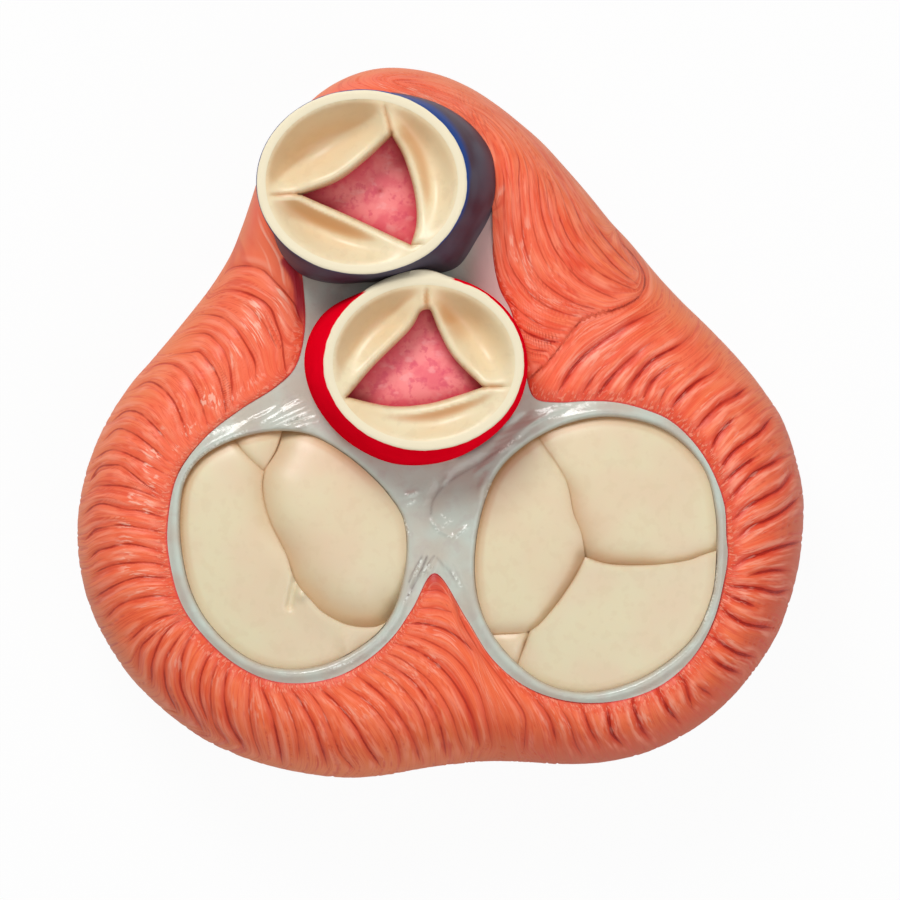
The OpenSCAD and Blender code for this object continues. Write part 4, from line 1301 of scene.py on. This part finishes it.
def cusps(names, vessel, sides, meets, pocket_drop):
    """The three pockets between the rim and the open middle of a valve."""
    level = vessel.rim_z - 2.0
    rim_loop = vessel.inner_loop(0.35, 0.1, RIM_WIDTH - 0.12)       # tucked just under the rim
    centre = rim_loop.mean(axis=0)
    free = [smooth(stand(read(side), level), 0.35) for side in sides]
    rim_angles = np.degrees(np.arctan2(*(rim_loop - centre).T[::-1])) % 360
    order = np.argsort(rim_angles)

    def on_rim(angle):
        """The rim's point in a direction from the middle."""
        return [np.interp(angle, rim_angles[order], rim_loop[order, axis], period=360) for axis in (0, 1)]

    pieces = []
    for number, name in enumerate(names):
        start, end = meets[number], meets[(number + 1) % 3]
        turn = (rim_angles - start) % 360
        chosen = (turn > 0.8) & (turn < (end - start) % 360 - 0.8)
        arc = rim_loop[chosen][np.argsort(turn[chosen])]
        arc = np.vstack([on_rim(start), arc, on_rim(end)])
        side = free[number]
        first = even(np.vstack([side[0], arc[0]]), 0.35)
        second = even(np.vstack([arc[-1], side[-1]]), 0.35)
        loop = np.vstack([first[:-1], arc[:-1], second[:-1], side[::-1][:-1]])

        def keep(points, loop=loop):
            return within(points, loop)

        def height_at(points, arc=arc, side=side, first=first, second=second):
            to_rim, to_free = gap_to(points, arc), gap_to(points, side)
            to_next = np.minimum(gap_to(points, first), gap_to(points, second))
            pocket = vessel.rim_z - pocket_drop
            wall = np.exp(-(to_rim / 2.8) ** 1.8)
            edge = 0.72 * np.exp(-(np.maximum(to_free - 0.9, 0) / 2.4) ** 1.5)
            seam = 0.85 * np.exp(-(to_next / 1.6) ** 1.4)
            rise = 1 - (1 - wall) * (1 - edge) * (1 - seam)
            height = pocket + (pocket_drop - 0.1) * rise
            height = height - 1.0 * (1 - np.sqrt(1 - (1 - np.clip(to_free / 0.9, 0, 1)) ** 2))
            height = height - 0.5 * bump(to_next, 0.35) * ramp(to_rim, 0.0, 1.5)
            return height, rise, to_rim, to_free, to_next

        def surface(points, height_at=height_at):
            height, rise, to_rim, to_free, to_next = height_at(points)
            # Painted shade: tan deep in the pocket and where the surface faces away from the light; warmer
            # painted shade along the seams, on the free edge, and in a band about 2 mm from it that faces
            # away from the light.
            climb = (height_at(points + SUNWARD)[0] - height) / np.linalg.norm(SUNWARD)
            near_free = ramp(to_rim - to_free, -2.0, 2.0)
            painted_shade = 0.24 * ramp(1 - rise, 0.2, 0.9) + (0.52 + 0.40 * near_free) * ramp(climb, 0.0, 0.6)
            painted_shade = painted_shade * ramp(to_free, 0.5, 1.1) * ramp(to_rim, 0.0, 0.8)
            line = np.maximum(0.3 * bump(to_free, 0.2), 0.3 * bump(to_next, 0.25) * ramp(to_rim, 0.0, 2.0))
            warm_painted_shade = np.maximum(0.55 * bump(to_next, 0.4) * ramp(to_rim, 0.6, 2.5), 0.4 * bump(to_free, 0.2))
            band = bump(to_free - 2.0, 1.0) * ramp(climb, 0.0, 0.4) * ramp(to_next, 0.8, 2.5)
            warm_painted_shade = np.maximum(warm_painted_shade, 0.32 * band)
            return height, {"painted_shade": painted_shade, "line": line, "warm_painted_shade": warm_painted_shade}

        pieces.append(relief(name, [loop], [], keep, surface, CUSP_FOOT_Z, step=0.35))
    return pieces, free


def lumen_floor(name, vessel, free, dimple=None):
    """The pink floor seen between the cusps."""
    loop = vessel.inner_loop(0.6, vessel.rim_z - LUMEN_FLOOR_Z)
    centre = loop.mean(axis=0)
    loop = centre + (loop - centre) * 0.995

    def keep(points):
        return within(points, loop)

    def surface(points):
        to_side = np.min([gap_to(points, side) for side in free], axis=0)
        away = np.linalg.norm(points - centre, axis=1)
        height = LUMEN_FLOOR_Z - 0.6 * (away / 10) ** 2
        # Painted shade: darker magenta along the cusps' free edges and in the dimple.
        edge = 0.75 * np.exp(-(to_side / 1.0) ** 1.5)
        if dimple is not None:
            place = stand(read([dimple]), LUMEN_FLOOR_Z)[0]
            gap = np.linalg.norm(points - place, axis=1)
            height = height - 0.3 * bump(gap, 0.6)
            edge = np.maximum(edge, 0.9 * bump(gap, 0.45))
        return height, {"edge": edge}

    return relief(name, [loop], [], keep, surface, ROOT_FOOT_Z, step=0.5)


aorta = Vessel(AORTIC_RIM, AORTIC_SHOWS, AORTIC_RIM_Z)
trunk = Vessel(PULMONARY_RIM, PULMONARY_SHOWS, PULMONARY_RIM_Z)
aorta_root = root("aorta_stump", aorta, 74, 125, {0: 0.5}, AORTIC_LEDGE)
trunk_root = root("pulmonary_stump", trunk, 400, 400, TRUNK_EDGE)
aortic_cusps, aortic_free = cusps(
    ["aortic_left_pocket", "aortic_back_pocket", "aortic_right_pocket"], aorta, AORTIC_SIDES, AORTIC_MEETS,
    pocket_drop=5.4
)
trunk_cusps, trunk_free = cusps(
    ["pulmonary_front_pocket", "pulmonary_left_pocket", "pulmonary_right_pocket"], trunk, PULMONARY_SIDES,
    PULMONARY_MEETS, pocket_drop=6.2
)
aorta_floor = lumen_floor("aorta_floor", aorta, aortic_free)
trunk_floor = lumen_floor("pulmonary_floor_pink", trunk, trunk_free, dimple=(380, 191))


# ---------------------------------------------------------------- pieces take their places

PLACES = [
    (wall, "ventricular_wall", "muscle_paint", muscle),
    (web_piece, "fibrous_skeleton", "tissue_grey_paint", web_grey),
    (mitral_pieces[0], "mitral_anterior_leaflet", "valve_cream", cream),
    (mitral_pieces[1], "mitral_posterior_leaflet", "valve_cream", cream),
    (mitral_pieces[2], "mitral_commissural_cusp", "valve_cream", cream),
    (tricuspid_pieces[0], "tricuspid_anterior_leaflet", "valve_cream", cream),
    (tricuspid_pieces[1], "tricuspid_septal_leaflet", "valve_cream", cream),
    (tricuspid_pieces[2], "tricuspid_posterior_leaflet", "valve_cream", cream),
    (tricuspid_pieces[3], "tricuspid_commissural_cusp", "valve_cream", cream),
    (aorta_root, "aortic_root", "aorta_red_paint", aorta_red),
    (trunk_root, "pulmonary_root", "trunk_blue_paint", trunk_blue),
    (aorta_floor, "aortic_floor", "lumen_pink_paint", lumen_pink),
    (trunk_floor, "pulmonary_floor", "lumen_pink_paint", lumen_pink),
    (aortic_cusps[0], "aortic_left_cusp", "valve_cream", pocket_cream),
    (aortic_cusps[1], "aortic_noncoronary_cusp", "valve_cream", pocket_cream),
    (aortic_cusps[2], "aortic_right_cusp", "valve_cream", pocket_cream),
    (trunk_cusps[0], "pulmonary_anterior_cusp", "valve_cream", pocket_cream),
    (trunk_cusps[1], "pulmonary_left_cusp", "valve_cream", pocket_cream),
    (trunk_cusps[2], "pulmonary_right_cusp", "valve_cream", pocket_cream),
]
for piece, node, slot, paint in PLACES:
    piece.data.materials.clear()
    piece.data.materials.append(paint)
    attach(piece, "root")
    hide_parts(node)

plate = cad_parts["back_plate"]
plate.data.materials.clear()
plate.data.materials.append(plate_buff)


# ---------------------------------------------------------------- table, light and camera

def floor_sheet():
    """A white sheet: the camera sees it white, and it still takes the model's soft shadow."""
    paint = bpy.data.materials.new("white_paper_sheet")
    paint.use_nodes = True
    tree = paint.node_tree
    tree.nodes.clear()
    paper = add(tree, "ShaderNodeBsdfDiffuse", inputs={"Color": linear("d8d8d8")})
    glow = add(tree, "ShaderNodeEmission", inputs={"Color": linear("ffffff"), "Strength": 1.0})
    share = maths(tree, "MULTIPLY", add(tree, "ShaderNodeLightPath").outputs["Is Camera Ray"], 0.95)
    seen = add(tree, "ShaderNodeMixShader", inputs={0: share, 1: paper.outputs[0], 2: glow.outputs[0]})
    add(tree, "ShaderNodeOutputMaterial", inputs={"Surface": seen.outputs[0]})
    mesh = bpy.data.meshes.new("table_sheet")
    half = 1.5                  # in metres
    corners = [(-half, -half, 0), (half, -half, 0), (half, half, 0), (-half, half, 0)]
    mesh.from_pydata(corners, [], [(0, 1, 2, 3)])
    mesh.materials.append(paint)
    sheet = bpy.data.objects.new("table_sheet", mesh)
    bpy.context.scene.collection.objects.link(sheet)


def soft_box(name, place, size, watts):
    """A square lamp that faces the middle of the model."""
    lamp = bpy.data.lights.new(name, "AREA")
    lamp.size = size * MM
    lamp.energy = watts
    box = bpy.data.objects.new(name, lamp)
    box.location = Vector(place) * MM
    aim = Vector((0, 0, 20 * MM)) - box.location
    box.rotation_euler = aim.to_track_quat("-Z", "Y").to_euler()
    bpy.context.scene.collection.objects.link(box)


floor_sheet()
soft_box("window_light", (-160, 430, 520), 260, 3.1)
soft_box("room_light", (300, -320, 620), 600, 2.0)
world = bpy.data.worlds.new("studio_room")
world.use_nodes = True
world.node_tree.nodes["Background"].inputs["Color"].default_value = linear("ffffff")
world.node_tree.nodes["Background"].inputs["Strength"].default_value = 0.40
bpy.context.scene.world = world

camera_data = bpy.data.cameras.new("camera")
camera_data.sensor_width = SENSOR
camera_data.lens = SENSOR * EYE_TO_OUTLINE / PICTURE_WIDTH
camera_data.clip_start = 0.05
camera_data.clip_end = 10.0
camera = bpy.data.objects.new("camera", camera_data)
camera.location = Vector(EYE) * MM
bpy.context.scene.collection.objects.link(camera)
bpy.context.scene.camera = camera
bpy.context.scene.view_settings.view_transform = "Standard"
